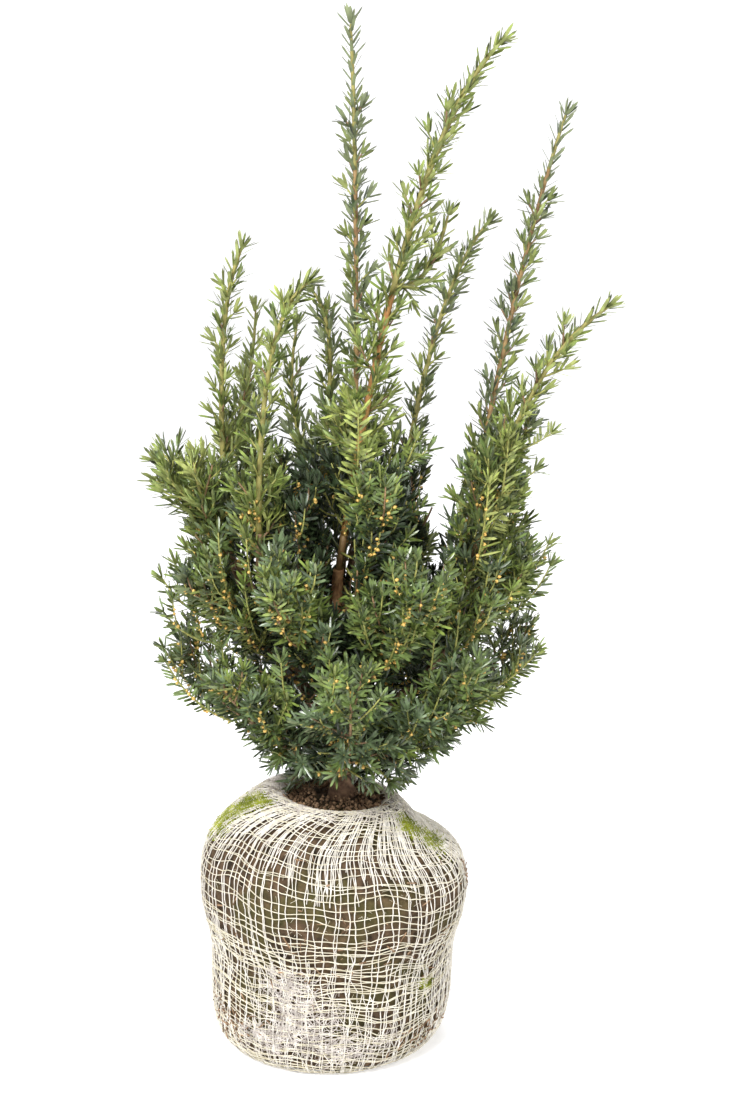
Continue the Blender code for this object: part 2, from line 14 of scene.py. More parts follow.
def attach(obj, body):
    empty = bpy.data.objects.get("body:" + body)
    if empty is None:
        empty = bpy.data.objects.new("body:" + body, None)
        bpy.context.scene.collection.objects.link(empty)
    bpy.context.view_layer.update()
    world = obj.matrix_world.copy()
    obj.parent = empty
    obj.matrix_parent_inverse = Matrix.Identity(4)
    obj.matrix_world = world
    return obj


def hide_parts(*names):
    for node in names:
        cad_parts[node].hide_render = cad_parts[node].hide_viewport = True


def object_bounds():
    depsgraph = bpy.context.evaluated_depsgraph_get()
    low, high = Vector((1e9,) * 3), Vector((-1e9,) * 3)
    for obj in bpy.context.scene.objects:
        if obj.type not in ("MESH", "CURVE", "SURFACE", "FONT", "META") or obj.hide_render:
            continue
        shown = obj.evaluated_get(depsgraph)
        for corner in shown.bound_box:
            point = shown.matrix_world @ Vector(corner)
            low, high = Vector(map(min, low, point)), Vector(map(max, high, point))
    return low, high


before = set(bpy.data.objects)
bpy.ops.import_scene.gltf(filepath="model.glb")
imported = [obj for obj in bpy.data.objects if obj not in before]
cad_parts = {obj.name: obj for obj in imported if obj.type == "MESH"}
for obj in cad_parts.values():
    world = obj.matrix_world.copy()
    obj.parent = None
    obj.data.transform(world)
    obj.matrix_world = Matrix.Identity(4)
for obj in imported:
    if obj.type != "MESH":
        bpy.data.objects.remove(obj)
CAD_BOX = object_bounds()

GOLDEN_ANGLE = math.radians(137.5)
UP = Vector((0, 0, 1))

# Camera: where the photograph was taken from, and its lens on a 36 mm sensor.
CAMERA_PLACE = (0.0245, -1.422, 0.715)
CAMERA_PITCH = math.radians(12.0)
CAMERA_LENS = 60.6

# Root ball: radius and height of its outline, from the soil inside the netting's neck to the flat underside.
BALL_OUTLINE = (
    (0.019, 0.2060), (0.036, 0.2045), (0.046, 0.2090), (0.056, 0.2085), (0.071, 0.1995), (0.088, 0.1850),
    (0.102, 0.1680), (0.1075, 0.1480), (0.1055, 0.1200), (0.0985, 0.0900), (0.0975, 0.0600), (0.0970, 0.0350),
    (0.0935, 0.0150), (0.0865, 0.0045), (0.0785, 0.0000),
)
BALL_SHOULDER_TILT = 0.075
BALL_TILT_FROM = 0.10
BALL_NECK_WIDENS = 0.03
BALL_SINKS = 0.016
BALL_SINKS_TOWARDS = math.radians(24)
BALL_SINKS_AT = 0.078
BALL_SINKS_WITHIN = 0.022
BALL_LEAN = (-0.0055, 0.0090)
BALL_LEAN_TO = 0.14
BALL_LUMP = 0.016
BALL_WAVES = ((1.00, 2, 0.5, 9), (0.70, 3, -1.3, -14), (0.45, 5, -1.57, 30), (0.25, 9, 0.0, -42))
SOIL_TOP = 0.2060

# Trunk and boughs: the solids' own curves and radii.
SEAT_GAP = 0.0003
TRUNK_FOOT = (0.006, 0.003, SOIL_TOP + SEAT_GAP)
TRUNK_BEND = (-0.005, 0.001, 0.3000)
TRUNK_TIP = (0.004, -0.012, 0.3980)
TRUNK_RADII = ((0.0, 0.0125), (0.05, 0.0098), (0.13, 0.0080), (0.45, 0.0062), (1.0, 0.0042))
TRUNK_STEPS = 12
BOUGH_RADII = (0.0036, 0.0022)
BOUGH_LEAD_IN = 0.045

# Crown: half widths, and how far its twigs reach out of the middle at each height, as a share of them.
CROWN_MIDDLE = (0.014, 0.0)
CROWN_HALF_WIDTHS = (0.158, 0.147)
CROWN_LEFT = (
    (0.207, 0.26), (0.225, 0.36), (0.254, 0.48), (0.271, 0.58), (0.288, 0.70), (0.304, 0.79), (0.321, 0.89),
    (0.340, 0.90), (0.360, 0.94), (0.398, 0.93), (0.412, 0.80), (0.440, 0.76), (0.458, 0.86), (0.500, 0.88),
)
CROWN_RIGHT = (
    (0.207, 0.24), (0.237, 0.32), (0.254, 0.48), (0.271, 0.66), (0.304, 0.80), (0.337, 0.94), (0.370, 0.87),
    (0.395, 0.90), (0.412, 0.94), (0.435, 0.84), (0.500, 0.84),
)
CROWN_TOP = 0.500
OUTLINE_HOLDS_TO = 0.450

# Openings between the masses: the sky right of the main leader, and a gap before the trunk. Both are seen
# along lines from the front: sideways is the way off the line to the plant's middle, as a share of distance.
SKY_SIDEWAYS = 0.0462
SKY_LEAN = 0.12
SKY_LEANS_FROM = 0.485
SKY_HALF_WIDTH = 0.0094
SKY_FOOT = 0.400
SKY_WIDENS = 0.035
SKY_TOP = 0.535
SKY_CROSSED_BEFORE = -0.032
SKY_CROSSED_ABOVE = 0.432
TRUNK_GAP_SIDEWAYS = (-0.0190, -0.0060)
TRUNK_GAP_HEIGHTS = (0.378, 0.428)
TRUNK_GAP_BEFORE = -0.014
SIGHT_SLOPE = 0.223

# The crown's lower fringe: how far above the soil its twigs stay, more so over the opening at the front left.
FRINGE = SOIL_TOP + 0.006
FRINGE_RISE = 0.026
FRINGE_FRONT = 0.030
FRINGE_SIDE = (0.034, 0.020)

# Twigs stay this far inside the solids' box, so that their needles end at its sides.
BOX_LOW, BOX_HIGH = (np.array(corner)[:2] for corner in CAD_BOX)
BOX_INSET = 0.012


@dataclass
class Shoot:
    """One mass of foliage: its stem's curve, and forks as a place on the stem with their own bend and tip."""

    name: str
    foot: tuple
    bend: tuple
    tip: tuple
    bough_height: float = 0.0
    forks: tuple = ()
    foot_radius: float = 0.0026
    bark: str = "low"
    young: bool = False
    dense: bool = False
    fullness: float = 1.0
    stems: list = field(default_factory=list)


MAIN_LEADER = Shoot(
    "main_leader", TRUNK_TIP, (0.053, -0.050, 0.730), (0.1225, -0.052, 0.795), foot_radius=0.0031,
    bark="main", young=True, fullness=1.4,
    forks=((0.40, (0.072, -0.012, 0.610), (0.087, -0.014, 0.671)),),
)
LEADERS = (
    Shoot(
        "left_leader", (-0.084, 0.017, 0.412), (-0.098, 0.030, 0.590), (-0.071, 0.026, 0.645),
        bough_height=0.262, young=True, fullness=0.6, forks=((0.22, (-0.066, 0.052, 0.520), (-0.063, 0.060, 0.594)),),
    ),
    Shoot(
        "front_arching_leader", (-0.056, -0.052, 0.405), (-0.058, -0.058, 0.600), (-0.017, -0.060, 0.624),
        bough_height=0.306, young=True, fullness=0.6,
    ),
    Shoot(
        "back_arching_leader", (-0.018, 0.052, 0.420), (0.010, 0.052, 0.580), (-0.0165, 0.050, 0.609),
        bough_height=0.325, fullness=0.65, forks=((0.12, (-0.046, 0.092, 0.500), (-0.031, 0.090, 0.580)),),
    ),
    Shoot(
        "tallest_leader", (0.016, 0.040, 0.425), (0.020, 0.042, 0.680), (0.0135, 0.044, 0.814),
        bough_height=0.352, bark="tall",
    ),
    Shoot(
        "right_back_leader", (0.052, 0.058, 0.432), (0.080, 0.076, 0.615), (0.123, 0.080, 0.662),
        bough_height=0.333, fullness=0.55,
    ),
    Shoot(
        "tall_right_leader", (0.101, 0.019, 0.385), (0.137, 0.040, 0.610), (0.181, 0.056, 0.746),
        bough_height=0.318, bark="tall", fullness=0.85, forks=((0.16, (0.132, 0.010, 0.460), (0.134, 0.004, 0.520)),),
    ),
    Shoot(
        "right_arching_leader", (0.100, -0.020, 0.362), (0.131, -0.048, 0.560), (0.203, -0.056, 0.605),
        bough_height=0.258, young=True, fullness=0.95,
    ),
    Shoot(
        "left_low_leader", (-0.070, -0.010, 0.392), (-0.104, -0.014, 0.448), (-0.137, -0.010, 0.484),
        bough_height=0.282, young=True, fullness=0.95, forks=((0.25, (-0.098, -0.040, 0.440), (-0.106, -0.038, 0.488)),),
    ),
    Shoot(
        "back_left_leader", (-0.062, 0.066, 0.385), (-0.078, 0.090, 0.450), (-0.074, 0.098, 0.535),
        bough_height=0.246,
    ),
    Shoot(
        "back_leader", (0.006, 0.094, 0.375), (0.010, 0.118, 0.450), (0.018, 0.126, 0.545),
        bough_height=0.280,
    ),
)


@dataclass
class Tier:
    """A ring of dense masses round the trunk. Heights are world heights, reaches are shares of the crown."""

    name: str
    count: int
    first_angle: float
    angle_between: float
    trunk_heights: tuple
    bend_reach: float
    bend_height: float
    tip_reach: float
    tip_height: float


TIERS = (
    Tier("skirt", 8, 0.0, 45.0, (0.2230, 0.2370), 0.46, 0.2500, 0.86, 0.3220),
    Tier("waist", 8, 22.5, 45.0, (0.2960, 0.3120), 0.42, 0.3300, 0.86, 0.3950),
    Tier("collar", 4, 150.0, 70.0, (0.3560, 0.3680), 0.24, 0.3850, 0.40, 0.4450),
)


@dataclass
class Axis:
    """A stem or twig: its line, the radii at its two ends, its age and the tint of its needles."""

    points: list
    radii: tuple
    bark: str
    tint: str
    first_needle: float
    leader: bool
    order: int


def limited(value):
    return min(max(value, 0.0), 1.0)


def between(table, place):
    """Read a value at a place from a table of (place, value) pairs, in straight steps."""
    for (low, first), (high, second) in zip(table, table[1:]):
        if place <= high:
            return first + (second - first) * limited((place - low) / (high - low))
    return table[-1][1]


def curve(foot, bend, tip, steps):
    """Points of a limb that leaves its foot towards the bend and arrives at its tip from there."""
    foot, bend, tip = Vector(foot), Vector(bend), Vector(tip)
    points = []
    for step in range(steps + 1):
        t = step / steps
        points.append(foot * (1 - t) ** 2 + bend * 2 * t * (1 - t) + tip * t ** 2)
    return points


def along(points, share):
    """The point and direction at a share of the way along a line of evenly numbered points."""
    place = limited(share) * (len(points) - 1)
    index = min(int(place), len(points) - 2)
    start, end = points[index], points[index + 1]
    return start.lerp(end, place - index), (end - start).normalized()


def length_of(points):
    return sum((b - a).length for a, b in zip(points, points[1:]))


def tilted(direction, angle, turn):
    """A direction that leans away from another by an angle, turned about it from one fixed side."""
    side = direction.orthogonal().normalized()
    across = direction.cross(side)
    outward = side * math.cos(turn) + across * math.sin(turn)
    return direction * math.cos(angle) + outward * math.sin(angle)


class Heap:
    """Collects vertices and faces of one kind, and makes them into one piece that stands for CAD nodes."""

    def __init__(self):
        self.vertices, self.faces, self.slots, self.count = [], [], [], 0

    def add(self, vertices, faces, slot=0):
        self.vertices.append(np.asarray(vertices, float))
        self.faces += (np.asarray(faces) + self.count).tolist()
        self.slots.append(np.full(len(faces), slot))
        self.count += len(vertices)

    def piece(self, name, materials, record_slot, nodes=(), smooth=True):
        mesh = bpy.data.meshes.new(name)
        mesh.from_pydata(np.concatenate(self.vertices).tolist(), [], self.faces)
        for each in materials:
            mesh.materials.append(each)
        mesh.polygons.foreach_set("material_index", np.concatenate(self.slots).astype(np.int32))
        if smooth:
            mesh.shade_smooth()
        built = bpy.data.objects.new(name, mesh)
        bpy.context.scene.collection.objects.link(built)
        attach(built, "root")
        if nodes:
            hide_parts(*nodes)
        return built


def tube(points, radii, sides, side=None):
    """Vertices and faces of a tube along a line, with a closed tip and foot. Radii go with the points."""
    line = np.asarray([tuple(point) for point in points], float)
    tangents = np.gradient(line, axis=0)
    tangents /= np.linalg.norm(tangents, axis=1)[:, None]
    if side is None:
        side = np.cross(tangents[0], (0.31, 0.52, 0.79))
    sides_at = np.empty_like(line)
    for index, tangent in enumerate(tangents):
        side = side - tangent * side.dot(tangent)
        side = side / np.linalg.norm(side)
        sides_at[index] = side
    across = np.cross(tangents, sides_at)
    turns = 2 * np.pi * np.arange(sides) / sides
    ring = sides_at[:, None] * np.cos(turns)[None, :, None] + across[:, None] * np.sin(turns)[None, :, None]
    vertices = (line[:, None] + ring * np.asarray(radii)[:, None, None]).reshape(-1, 3)
    rings = len(line)
    low = (np.arange(rings - 1)[:, None] * sides + np.arange(sides)[None]).ravel()
    high = (np.arange(rings - 1)[:, None] * sides + (np.arange(sides)[None] + 1) % sides).ravel()
    walls = np.stack([low, high, high + sides, low + sides], axis=1).tolist()
    walls.append(list(range(sides))[::-1])
    walls.append([(rings - 1) * sides + corner for corner in range(sides)])
    return vertices, walls


class TubeHeap(Heap):
    def add(self, vertices, faces, slot=0):
        self.vertices.append(vertices)
        self.faces += [[corner + self.count for corner in face] for face in faces]
        self.slots.append(np.full(len(faces), slot))
        self.count += len(vertices)


def trunk_points(steps=TRUNK_STEPS):
    return curve(TRUNK_FOOT, TRUNK_BEND, TRUNK_TIP, steps)


def off_the_trunk(height, towards):
    """Where a limb leaves the trunk at a height, and the way it faces."""
    points = trunk_points()
    index = max(i for i, point in enumerate(points[:-1]) if point.z <= height)
    low, high = points[index], points[index + 1]
    share = (height - low.z) / (high.z - low.z)
    axis, upward = low.lerp(high, share), (high - low).normalized()
    facing = Vector((towards[0] - axis.x, towards[1] - axis.y, 0.0))
    facing = (facing - upward * facing.dot(upward)).normalized()
    return axis, facing, between(TRUNK_RADII, (index + share) / TRUNK_STEPS)


def bough_points(leader, steps):
    """A bough's curve from inside the trunk's bark to its leader's foot, in line with the leader's stem."""
    axis, facing, radius = off_the_trunk(leader.bough_height, leader.foot)
    foot, bend = Vector(leader.foot), Vector(leader.bend)
    onward = (bend - foot).normalized()
    return curve(axis + facing * radius * 0.6, foot - onward * BOUGH_LEAD_IN, foot, steps)


def crown_point(angle, reach, height):
    """A point at a bearing and a share of the crown's reach."""
    x = CROWN_MIDDLE[0] + CROWN_HALF_WIDTHS[0] * reach * math.cos(angle)
    y = CROWN_MIDDLE[1] + CROWN_HALF_WIDTHS[1] * reach * math.sin(angle)
    return x, y, height


def crown_share(point):
    """How far out of the crown's middle a point is, as a share of the crown's reach that way."""
    across = (point.x - CROWN_MIDDLE[0]) / CROWN_HALF_WIDTHS[0]
    deep = (point.y - CROWN_MIDDLE[1]) / CROWN_HALF_WIDTHS[1]
    out = max(math.hypot(across, deep), 1e-6)
    right = 0.5 + 0.5 * across / out
    return out / (between(CROWN_LEFT, point.z) * (1 - right) + between(CROWN_RIGHT, point.z) * right)


def in_an_opening(points):
    """Which of many points lie in the sky right of the main leader, or in the gap before the trunk."""
    x, y, z = points[:, 0], points[:, 1], points[:, 2]
    sideways = (x - CAMERA_PLACE[0]) / (y - CAMERA_PLACE[1])
    half_width = SKY_HALF_WIDTH * np.clip((z - SKY_FOOT) / SKY_WIDENS, 0, 1)
    middle = SKY_SIDEWAYS + SKY_LEAN * np.minimum(z - SKY_LEANS_FROM, 0)
    sky = (np.abs(sideways - middle) < half_width) & (z < SKY_TOP)
    sky &= (y > SKY_CROSSED_BEFORE) | (z < SKY_CROSSED_ABOVE)
    height = z + (y - TRUNK_TIP[1]) * SIGHT_SLOPE
    gap = (y < TRUNK_GAP_BEFORE) & (sideways > TRUNK_GAP_SIDEWAYS[0]) & (sideways < TRUNK_GAP_SIDEWAYS[1])
    return sky | (gap & (height > TRUNK_GAP_HEIGHTS[0]) & (height < TRUNK_GAP_HEIGHTS[1]))


def fringe_height(points):
    """How low twigs may hang at each point: the soil of the opening shows from the front, left of the trunk."""
    front = np.clip(-points[:, 1] / FRINGE_FRONT, 0, 1)
    left = np.clip((FRINGE_SIDE[0] - points[:, 0]) / FRINGE_SIDE[1], 0, 1)
    return FRINGE + FRINGE_RISE * front * left


def tier_masses():
    """The dense masses of every ring, each with a stem that starts on the trunk."""
    masses = []
    for tier in TIERS:
        for index in range(tier.count):
            angle = math.radians(tier.first_angle + tier.angle_between * index)
            height = tier.trunk_heights[index % len(tier.trunk_heights)]
            bend = crown_point(angle, tier.bend_reach, tier.bend_height)
            tip = crown_point(angle, tier.tip_reach, tier.tip_height)
            axis, facing, radius = off_the_trunk(height, bend)
            foot = axis + facing * radius * 0.6
            masses.append(Shoot(f"{tier.name}_{index + 1}", foot, bend, tip, dense=True))
    return masses


STEM_POINT_EVERY = 0.006


def lay_out_stems(mass):
    """Fill in the points of a mass's stem and of its forks."""
    ends = [(mass.foot, mass.bend, mass.tip)]
    for share, bend, tip in mass.forks:
        ends.append((along(curve(mass.foot, mass.bend, mass.tip, 20), share)[0], bend, tip))
    for foot, bend, tip in ends:
        steps = round(length_of(curve(foot, bend, tip, 20)) / STEM_POINT_EVERY)
        mass.stems.append(curve(foot, bend, tip, steps))


class Space:
    """Tells which mass a place belongs to: the one whose stem is nearest, clear of every limb."""

    def __init__(self, masses, limbs):
        places, owners, limb_places, limb_radii = [], [], [], []
        for number, mass in enumerate(masses):
            for stem in mass.stems:
                places += [tuple(point) for point in stem]
                owners += [number] * len(stem)
        for points, radii in limbs:
            limb_places += [tuple(point) for point in points]
            limb_radii += list(radii)
        self.places, self.owners = np.array(places), np.array(owners)
        self.limb_places, self.limb_radii = np.array(limb_places), np.array(limb_radii)
        self.numbers = {mass.name: number for number, mass in enumerate(masses)}

    def belongs(self, mass, points, margin, limb_margin):
        """Whether all the points lie in a mass's own space, by a margin to its neighbours and to limbs."""
        if mass.dense and not all(crown_share(point) < 1 and point.z < CROWN_TOP for point in points):
            return False
        if any(point.z < OUTLINE_HOLDS_TO and crown_share(point) > 1.04 for point in points):
            return False
        points = np.array([tuple(point) for point in points])
        if in_an_opening(points).any():
            return False
        if (points[:, :2] < BOX_LOW + BOX_INSET).any() or (points[:, :2] > BOX_HIGH - BOX_INSET).any():
            return False
        apart = np.linalg.norm(points[:, None] - self.places[None], axis=2)
        mine = self.owners == self.numbers[mass.name]
        own, others = apart[:, mine].min(axis=1), apart[:, ~mine].min(axis=1)
        if not (others > own + margin).all() or (points[:, 2] < fringe_height(points)).any():
            return False
        return self.off_limbs(points, limb_margin).all()

    def off_limbs(self, points, limb_margin):
        gaps = np.linalg.norm(points[:, None] - self.limb_places[None], axis=2) - self.limb_radii
        return gaps.min(axis=1) > limb_margin


@dataclass
class Habit:
    """How twigs stand on a stem. Lengths and lifts go by height, the rest by the share along the stem."""

    spacing: tuple
    lengths: tuple
    lean: tuple
    lift: tuple
    stretch: tuple
    finer: float


DENSE_HABIT = Habit(
    spacing=((0.0, 0.0050), (1.0, 0.0042)), lengths=((0.24, 0.036), (0.30, 0.044), (0.36, 0.054), (0.42, 0.050)),
    lean=((0.0, 66), (1.0, 40)), lift=((0.24, 0.0), (0.29, 0.15), (0.33, 0.70), (0.40, 1.20)),
    stretch=(0.08, 0.99), finer=2.2,
)
LEADER_HABIT = Habit(
    spacing=((0.0, 0.0050), (0.3, 0.0064), (0.6, 0.0074), (1.0, 0.0095)),
    lengths=((0.36, 0.052), (0.42, 0.046), (0.455, 0.036), (0.49, 0.026), (0.53, 0.018), (0.58, 0.015),
             (0.66, 0.012), (0.80, 0.009)),
    lean=((0.0, 52), (0.3, 40), (1.0, 34)), lift=((0.38, 0.5), (0.48, 0.2), (0.60, 0.0)),
    stretch=(0.0, 0.80), finer=3.0,
)
FINER_LENGTHS = (0.60, 0.36)
FINER_LEAN = (52, 34)
LEAST_TWIG = {"crown": 0.010, "leader": 0.004}
LEAST_FORKED_TWIG = 0.020
TWIG_TRIES = 6
TWIG_SHORTENING = 0.8
TWIG_MARGINS = (0.0005, 0.0020)
TWIG_RADII = (0.00105, 0.00065)
FINER_RADII = (0.00085, 0.00060)

# Shoots that make up the crown's outline and its front: their mass, root, bend, tip and tint.
STANDING_SHOOTS = (
    ("main_leader", (0.008, -0.020, 0.428), (0.021, -0.060, 0.446), (0.0195, -0.074, 0.530), "lime"),
    ("main_leader", (0.018, -0.028, 0.476), (0.046, -0.036, 0.474), (0.072, -0.036, 0.496), "dark"),
    ("main_leader", (0.011, -0.020, 0.440), (0.046, -0.040, 0.430), (0.067, -0.042, 0.454), "dark"),
    ("main_leader", (0.006, -0.016, 0.412), (0.034, -0.050, 0.402), (0.056, -0.056, 0.432), "mid"),
    ("skirt_5", (-0.080, -0.020, 0.276), (-0.112, -0.028, 0.288), (-0.132, -0.024, 0.326), "dark"),
    ("skirt_5", (-0.086, -0.014, 0.284), (-0.116, -0.016, 0.300), (-0.134, -0.014, 0.334), "dark"),
    ("waist_5", (-0.086, -0.020, 0.340), (-0.116, -0.028, 0.342), (-0.132, -0.030, 0.368), "dark"),
    ("waist_5", (-0.090, -0.016, 0.356), (-0.118, -0.018, 0.364), (-0.134, -0.018, 0.392), "mid"),
    ("waist_8", (0.126, -0.030, 0.362), (0.153, -0.036, 0.372), (0.167, -0.036, 0.406), "dark"),
    ("waist_8", (0.130, -0.026, 0.374), (0.150, -0.028, 0.386), (0.166, -0.028, 0.421), "mid"),
    ("waist_8", (0.122, -0.034, 0.380), (0.138, -0.040, 0.392), (0.148, -0.042, 0.426), "dark"),
    ("right_arching_leader", (0.112, -0.026, 0.420), (0.136, -0.034, 0.425), (0.142, -0.034, 0.463), "mid"),
    ("right_arching_leader", (0.118, -0.030, 0.450), (0.134, -0.036, 0.458), (0.139, -0.036, 0.500), "fresh"),
    ("right_arching_leader", (0.128, -0.034, 0.480), (0.144, -0.038, 0.490), (0.150, -0.038, 0.527), "fresh"),
    ("right_arching_leader", (0.104, -0.034, 0.398), (0.112, -0.062, 0.404), (0.117, -0.068, 0.476), "lime"),
    ("right_arching_leader", (0.116, -0.034, 0.430), (0.127, -0.056, 0.438), (0.132, -0.058, 0.508), "lime"),
    ("skirt_1", (0.100, -0.024, 0.296), (0.134, -0.032, 0.304), (0.157, -0.032, 0.334), "mid"),
    ("skirt_8", (0.048, -0.058, 0.272), (0.072, -0.084, 0.284), (0.080, -0.094, 0.318), "dark"),
    ("skirt_8", (0.040, -0.050, 0.268), (0.058, -0.082, 0.272), (0.064, -0.098, 0.302), "deep"),
    ("skirt_8", (0.062, -0.064, 0.286), (0.090, -0.080, 0.300), (0.100, -0.086, 0.332), "dark"),
    ("waist_7", (0.034, -0.062, 0.330), (0.044, -0.090, 0.338), (0.050, -0.098, 0.372), "dark"),
    ("skirt_8", (0.070, -0.058, 0.290), (0.090, -0.082, 0.308), (0.094, -0.088, 0.372), "dark"),
    ("skirt_8", (0.058, -0.054, 0.286), (0.074, -0.080, 0.306), (0.076, -0.090, 0.362), "dark"),
    ("waist_8", (0.092, -0.038, 0.344), (0.104, -0.062, 0.340), (0.112, -0.072, 0.384), "dark"),
    ("waist_8", (0.086, -0.034, 0.340), (0.088, -0.058, 0.344), (0.090, -0.066, 0.392), "mid"),
    ("waist_5", (-0.060, -0.026, 0.345), (-0.078, -0.056, 0.350), (-0.082, -0.066, 0.410), "dark"),
    ("waist_5", (-0.050, -0.024, 0.340), (-0.062, -0.060, 0.346), (-0.066, -0.074, 0.400), "mid"),
    ("waist_5", (-0.072, -0.040, 0.374), (-0.084, -0.068, 0.386), (-0.085, -0.076, 0.440), "dark"),
    ("waist_5", (-0.052, -0.036, 0.368), (-0.062, -0.070, 0.382), (-0.064, -0.078, 0.436), "mid"),
    ("main_leader", (0.010, -0.018, 0.400), (0.022, -0.050, 0.386), (0.025, -0.060, 0.414), "dark"),
    ("main_leader", (0.008, -0.016, 0.385), (0.022, -0.054, 0.366), (0.028, -0.064, 0.392), "mid"),
    ("skirt_6", (-0.040, -0.060, 0.276), (-0.052, -0.090, 0.284), (-0.056, -0.098, 0.316), "deep"),
    ("skirt_6", (-0.030, -0.056, 0.286), (-0.036, -0.088, 0.300), (-0.038, -0.098, 0.346), "dark"),
    ("skirt_7", (0.004, -0.060, 0.290), (0.000, -0.094, 0.300), (-0.002, -0.104, 0.350), "dark"),
    ("skirt_5", (-0.060, -0.030, 0.290), (-0.078, -0.062, 0.300), (-0.084, -0.072, 0.350), "dark"),
)

# A leader's stem: how its radius runs out, and its bark from the crown upwards by world height.
STEM_RADII = ((0.0, 1.0), (0.15, 0.88), (0.50, 0.74), (0.92, 0.56), (1.0, 0.34))
STEM_BARKS = {
    "main": (("russet", 0.425), ("orange", 0.610), ("olive", 1.0)),
    "tall": (("brown", 0.440), ("russet", 0.700), ("olive", 1.0)),
    "low": (("brown", 0.430), ("olive", 1.0)),
}

# How needle tints are dealt out to sprays, by the kind of mass and by height; the darkest tint is painted shade, given
# to sprays deep inside the crown.
TINTS = ("inner", "deep", "dark", "mid", "fresh", "lime")
LOW_CROWN_DEAL = (0.00, 0.66, 0.30, 0.04, 0.00, 0.00)
HIGH_CROWN_DEAL = (0.00, 0.18, 0.40, 0.32, 0.10, 0.00)
OLD_LEADER_DEAL = (0.00, 0.46, 0.34, 0.15, 0.05, 0.00)
YOUNG_LEADER_DEAL = (0.00, 0.04, 0.16, 0.30, 0.34, 0.16)
LOW_CROWN, HIGH_CROWN = 0.28, 0.43
SAME_TINT = 0.45
# Heights, and shares of the crown's reach within which sprays get the painted shade tint.
INNER_SHADE_CROWN = ((0.430, 0.66), (0.500, 0.34))


def deal_tint(mass, tip, chance):
    """A spray's tint: painted shade inside the crown, and by the kind of mass and the height outside."""
    height = tip.z
    if height < INNER_SHADE_CROWN[-1][0] and crown_share(tip) < between(INNER_SHADE_CROWN, height):
        return "inner"
    if mass.dense:
        rise = limited((height - LOW_CROWN) / (HIGH_CROWN - LOW_CROWN))
        deal = [low + (high - low) * rise for low, high in zip(LOW_CROWN_DEAL, HIGH_CROWN_DEAL)]
    else:
        rise = limited((height - HIGH_CROWN) / 0.08)
        top = YOUNG_LEADER_DEAL if mass.young else OLD_LEADER_DEAL
        deal = [low + (high - low) * rise for low, high in zip(HIGH_CROWN_DEAL, top)]
    return chance.choices(TINTS, deal)[0]


def place_twig(mass, space, root, aim, reach, lift):
    """A twig's line from its root, shortened until it keeps to its mass's space, or None."""
    least = LEAST_TWIG["crown" if mass.dense else "leader"]
    rising = (aim + UP * lift).normalized()
    for _ in range(TWIG_TRIES):
        if reach < least:
            return None
        bend = root + aim * reach * 0.45
        tip = root + rising * reach
        points = curve(root, bend, tip, max(3, round(reach / 0.007)))
        if space.belongs(mass, points[1:], *TWIG_MARGINS):
            return points
        reach *= TWIG_SHORTENING
    return None


def twigs_on(mass, space, stem, habit, chance):
    """Side twigs wound round a stem by the golden angle, each with finer twigs of its own."""
    axes = []
    whole = length_of(stem)
    share, number = habit.stretch[0], chance.randrange(8)
    while share < habit.stretch[1]:
        root, direction = along(stem, share)
        lean = math.radians(between(habit.lean, share)) * chance.uniform(0.8, 1.2)
        aim = tilted(direction, lean, number * GOLDEN_ANGLE + chance.uniform(0, 0.7))
        reach = between(habit.lengths, root.z) * mass.fullness * chance.uniform(0.70, 1.15)
        points = place_twig(mass, space, root, aim, reach, between(habit.lift, root.z))
        if points:
            tint = deal_tint(mass, points[-1], chance)
            bark = "green" if chance.random() < (0.75 if mass.young else 0.55) else "brown"
            axes.append(Axis(points, TWIG_RADII, bark, tint, 0.06, not mass.dense, 1))
            axes += finer_twigs(mass, space, axes[-1], habit, chance)
        number += 1
        share += between(habit.spacing, share) * chance.uniform(0.75, 1.25) / whole
    return axes


def finer_twigs(mass, space, twig, habit, chance):
    axes = []
    reach = length_of(twig.points)
    if reach < LEAST_FORKED_TWIG:
        return axes
    count = round(habit.finer * limited(reach / 0.040) * chance.uniform(0.7, 1.3))
    for index in range(count):
        part = (index + 0.5) / count
        root, direction = along(twig.points, 0.16 + 0.64 * part)
        lean = math.radians(FINER_LEAN[0] + (FINER_LEAN[1] - FINER_LEAN[0]) * part)
        aim = tilted(direction, lean, (index + 1) * GOLDEN_ANGLE + chance.uniform(0, 0.8))
        length = reach * (FINER_LENGTHS[0] + (FINER_LENGTHS[1] - FINER_LENGTHS[0]) * part)
        length *= chance.uniform(0.8, 1.2)
        points = place_twig(mass, space, root, aim, length, between(habit.lift, root.z))
        if points:
            tint = twig.tint if chance.random() < SAME_TINT else deal_tint(mass, points[-1], chance)
            axes.append(Axis(points, FINER_RADII, "green", tint, 0.10, twig.leader, 2))
    return axes


def grow_mass(mass, space):
    """Every stem, twig and finer twig of one mass."""
    chance = random.Random(mass.name + " looks")
    habit = DENSE_HABIT if mass.dense else LEADER_HABIT
    axes = []
    for number, stem in enumerate(mass.stems):
        tint = "fresh" if mass.young else "deep" if mass.bark == "tall" else "dark"
        radius = mass.foot_radius * (1.0 if number == 0 else 0.8)
        bark = "brown" if mass.dense else mass.bark
        first = 0.14 if mass.dense else 0.02
        axes.append(Axis(stem, (radius, 0.0008), bark, tint, first, not mass.dense, 0))
        axes += twigs_on(mass, space, stem, habit, chance)
    for name, root, bend, tip, tint in STANDING_SHOOTS:
        if name == mass.name:
            axes.append(Axis(curve(root, bend, tip, 12), TWIG_RADII, "green", tint, 0.10, False, 1))
            if tint != "lime":
                axes += finer_twigs(mass, space, axes[-1], habit, chance)
    return axes


